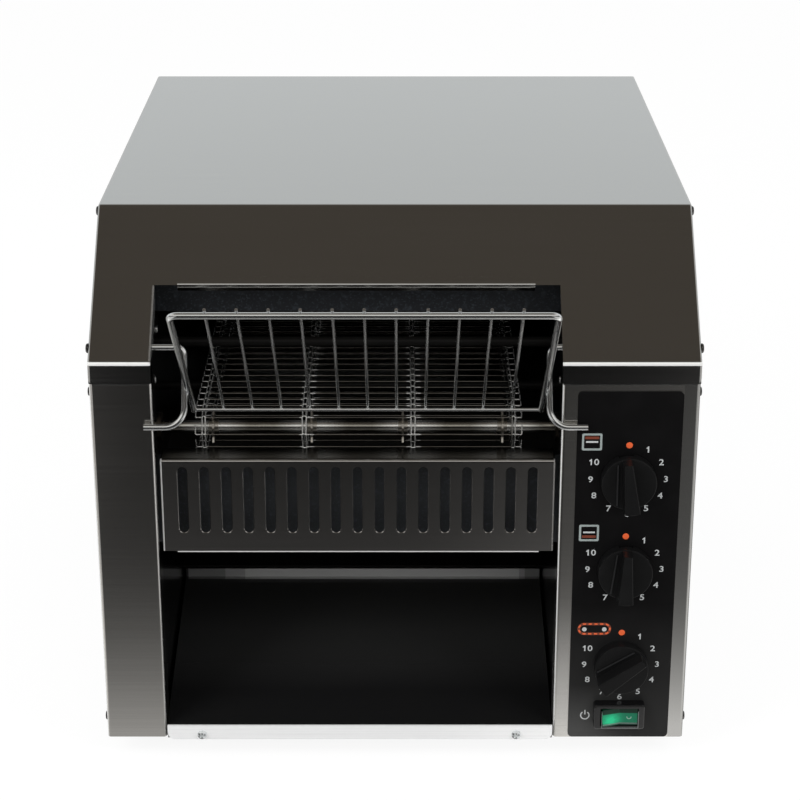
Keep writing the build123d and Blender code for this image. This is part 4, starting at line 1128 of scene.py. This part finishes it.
@dataclass
class Studio:
    """Pale floor, soft lights, surroundings and the camera."""

    front: float
    base: float
    lens: float = 97.28
    camera_place: Point = (4.02 * MM, -1222.08 * MM, 709.94 * MM)
    camera_pitch: float = 21.262
    camera_yaw: float = 0.008
    aim_height: float = 0.15
    lamps: tuple[tuple[Side, float, Point], ...] = (
        (Side.LEFT, 16.0, (1.3, -1.1, 1.2)), (Side.RIGHT, 12.0, (1.3, -1.0, 1.3)))
    lamp_size: float = 0.9
    world_light: float = 0.62
    floor_size: float = 40.0
    floor_colour: Colour = (0.86, 0.86, 0.86)
    floor_white: float = 1.055
    floor_share: float = 0.86
    mirrored_tint: Colour = (1.0, 0.985, 0.96)
    floor_reach: float = 1.1
    widening: float = 0.82
    floor_glow: tuple[Pair, ...] = (
        (0.0, 0.56), (0.05, 0.39), (0.10, 0.25), (0.16, 0.145), (0.22, 0.085), (0.29, 0.048), (0.37, 0.038),
        (0.50, 0.028), (0.65, 0.018), (0.85, 0.006), (1.1, 0.003))
    side_glow: tuple[Pair, ...] = (
        (0.0, 0.70), (0.05, 0.45), (0.10, 0.30), (0.16, 0.17), (0.22, 0.095), (0.29, 0.075), (0.37, 0.06),
        (0.65, 0.05), (0.85, 0.012), (1.1, 0.0))
    sky_ahead: tuple[tuple[float, Colour], ...] = (
        (0.0, (0.014, 0.013, 0.012)), (0.30, (0.05, 0.045, 0.04)), (0.42, (0.75, 0.73, 0.70)),
        (0.70, (0.70, 0.68, 0.64)), (0.90, (0.066, 0.056, 0.046)), (1.0, (0.077, 0.066, 0.053)))
    sky_behind: tuple[tuple[float, Colour], ...] = (
        (0.0, (0.70, 0.71, 0.71)), (0.20, (0.74, 0.765, 0.775)), (0.28, (0.675, 0.70, 0.705)),
        (0.34, (0.64, 0.66, 0.67)), (0.7, (0.55, 0.55, 0.54)), (1.0, (0.10, 0.09, 0.075)))

    def camera(self) -> None:
        """Stand the camera in front and above, looking down at the toaster."""
        data = bpy.data.cameras.new("camera")
        data.lens = self.lens
        data.sensor_width = 36.0
        data.clip_end = 200.0
        camera = placed("camera", data)
        x, y, z = self.camera_place
        camera.location = (x, y + self.front, z + self.base)
        camera.rotation_euler = (math.radians(90 - self.camera_pitch), 0.0, math.radians(self.camera_yaw))
        bpy.context.scene.camera = camera

    def _floor_material(self) -> bpy.types.Material:
        """Return the floor's material: white to the eye, and darker far away to polished metal."""
        material = bpy.data.materials.new("studio_floor")
        graph = emptied(material)
        x, y, _ = graph.parts(graph.object_coordinates())
        ahead = graph.maths("MAXIMUM", self.front - y, 0.0)
        across = x / (1.0 + ahead * self.widening)
        middle, beside = (
            graph.ramp(ahead / self.floor_reach, [(place / self.floor_reach, (level,) * 3) for place, level in glow])
            for glow in (self.floor_glow, self.side_glow))
        right = graph.spread(across, (0.02, 0.17), (0.0, 1.3))
        mirrored = middle + beside * right + 0.5 * graph.spread(abs(across), (0.205, 0.27), (0.0, 1.0))
        in_front = graph.spread(self.front - y, (-0.03, 0.0), (0.0, 1.0))
        mirrored = graph.maths("MINIMUM", mirrored, 1.1) * in_front + 0.40 * (1.0 - in_front)
        paths = graph.add("ShaderNodeLightPath")
        glossy, camera = graph.out(paths, "Is Glossy Ray"), graph.out(paths, "Is Camera Ray")
        plain = graph.value("ShaderNodeBsdfDiffuse", {"Color": opaque(self.floor_colour)})
        white = graph.value("ShaderNodeEmission", {"Color": WHITE, "Strength": self.floor_white})
        dim = graph.value("ShaderNodeEmission", {"Color": opaque(self.mirrored_tint), "Strength": mirrored})
        seen = graph.blend(camera * self.floor_share, plain, white)
        graph.add("ShaderNodeOutputMaterial", None, {"Surface": graph.blend(glossy, seen, dim)})
        return material

    def floor(self) -> None:
        """Lay the floor under the feet."""
        half = self.floor_size / 2
        mesh = bpy.data.meshes.new("floor")
        mesh.from_pydata([(-half, -half, 0), (half, -half, 0), (half, half, 0), (-half, half, 0)], [], [(0, 1, 2, 3)])
        mesh.materials.append(self._floor_material())
        placed("floor", mesh)

    def world(self) -> None:
        """Surround the toaster: white to the eye, and a low bright band with a dark ceiling in polished metal."""
        world = bpy.data.worlds.new("studio")
        bpy.context.scene.world = world
        graph = emptied(world)
        direction = graph.value("ShaderNodeTexCoord", key="Generated")
        _, depth, height = graph.parts(direction)
        ahead, behind = graph.ramp(height, self.sky_ahead), graph.ramp(height, self.sky_behind)
        band = graph.mix(graph.spread(depth, (-0.05, 0.25), (0.0, 1.0)), ahead, behind)
        paths = graph.add("ShaderNodeLightPath")
        glossy, camera = graph.out(paths, "Is Glossy Ray"), graph.out(paths, "Is Camera Ray")
        plain, mirrored, white = (
            graph.value("ShaderNodeBackground", {"Color": colour, "Strength": strength})
            for colour, strength in ((WHITE, self.world_light), (band, 1.0), (WHITE, 1.0)))
        final = graph.blend(camera, graph.blend(glossy, plain, mirrored), white)
        graph.add("ShaderNodeOutputWorld", None, {"Surface": final})

    def softbox(self, side: Side, power: float, place: Point) -> None:
        """Hang one square soft light.

        Args:
            side: The side that it stands on.
            power: Power in watts.
            place: Its distance to the side, Y and height.
        """
        data = bpy.data.lights.new(f"softbox_{side.name.lower()}", "AREA")
        data.energy = power
        data.size = self.lamp_size
        lamp = placed(data.name, data)
        lamp.visible_glossy = False
        lamp.location = (side.value * place[0], place[1], place[2])
        aim = Vector((0, 0, self.aim_height)) - lamp.location
        lamp.rotation_euler = aim.to_track_quat("-Z", "Y").to_euler()

    def build(self) -> None:
        """Make the whole studio."""
        self.camera()
        self.floor()
        self.world()
        for lamp in self.lamps:
            self.softbox(*lamp)
        bpy.context.scene.view_settings.view_transform = "Standard"


# --------------------------------------------------------------------------- the toaster
DIALS = {"upper_heat": -6.4, "lower_heat": 1.1, "belt_speed": 53.0}


@dataclass
class Toaster:
    """The whole toaster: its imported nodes, dressed, and the pieces added to them."""

    frame: dict[str, Any]

    def dress_nodes(self) -> None:
        """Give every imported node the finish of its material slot."""
        slots = {part["node"]: part["material_slot"] for part in self.frame["record"]["subparts"]}
        for name, node in self.frame["nodes"].items():
            finish = FINISHES[OWN_FINISH.get(name, slots[name])]
            dressed(node.data, finish)
            LOG.info("%s wears %s", name, finish.name)

    def joint_place(self, name: str) -> Vector:
        """Return where a joint's axis is, in metres."""
        return Vector(next(joint["pos_m"] for joint in self.frame["joints"] if joint["name"] == name))

    def build(self) -> None:
        """Dress the nodes and add the printed panel and the wire belt."""
        self.dress_nodes()
        dials = [self.joint_place(f"{name}_turn") for name in DIALS]
        switch = self.joint_place("power_tip")
        panel_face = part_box("control_overlay")[0].y
        for dial, (name, turn) in zip(dials, DIALS.items()):
            KnobRib(f"{name}_knob_rib", dial, turn, f"{name}_control").build()
        switch_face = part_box("switch_body")[0].y
        PanelPrint([(dial.x, dial.z) for dial in dials], panel_face, (switch.x, switch.z), switch_face).build()
        low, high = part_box("belt_upper_run")
        WireBelt(self.joint_place("front_roller_spin"), self.joint_place("rear_roller_spin"), (low.x, high.x)).build()


def main() -> None:
    """Build the toaster and its studio."""
    logging.basicConfig(level=logging.INFO, format="%(message)s")
    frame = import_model()
    Toaster(frame).build()
    hood_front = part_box("hood")[0].y
    Studio(hood_front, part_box("rubber_feet")[1].z).build()


if __name__ == "__main__":
    main()
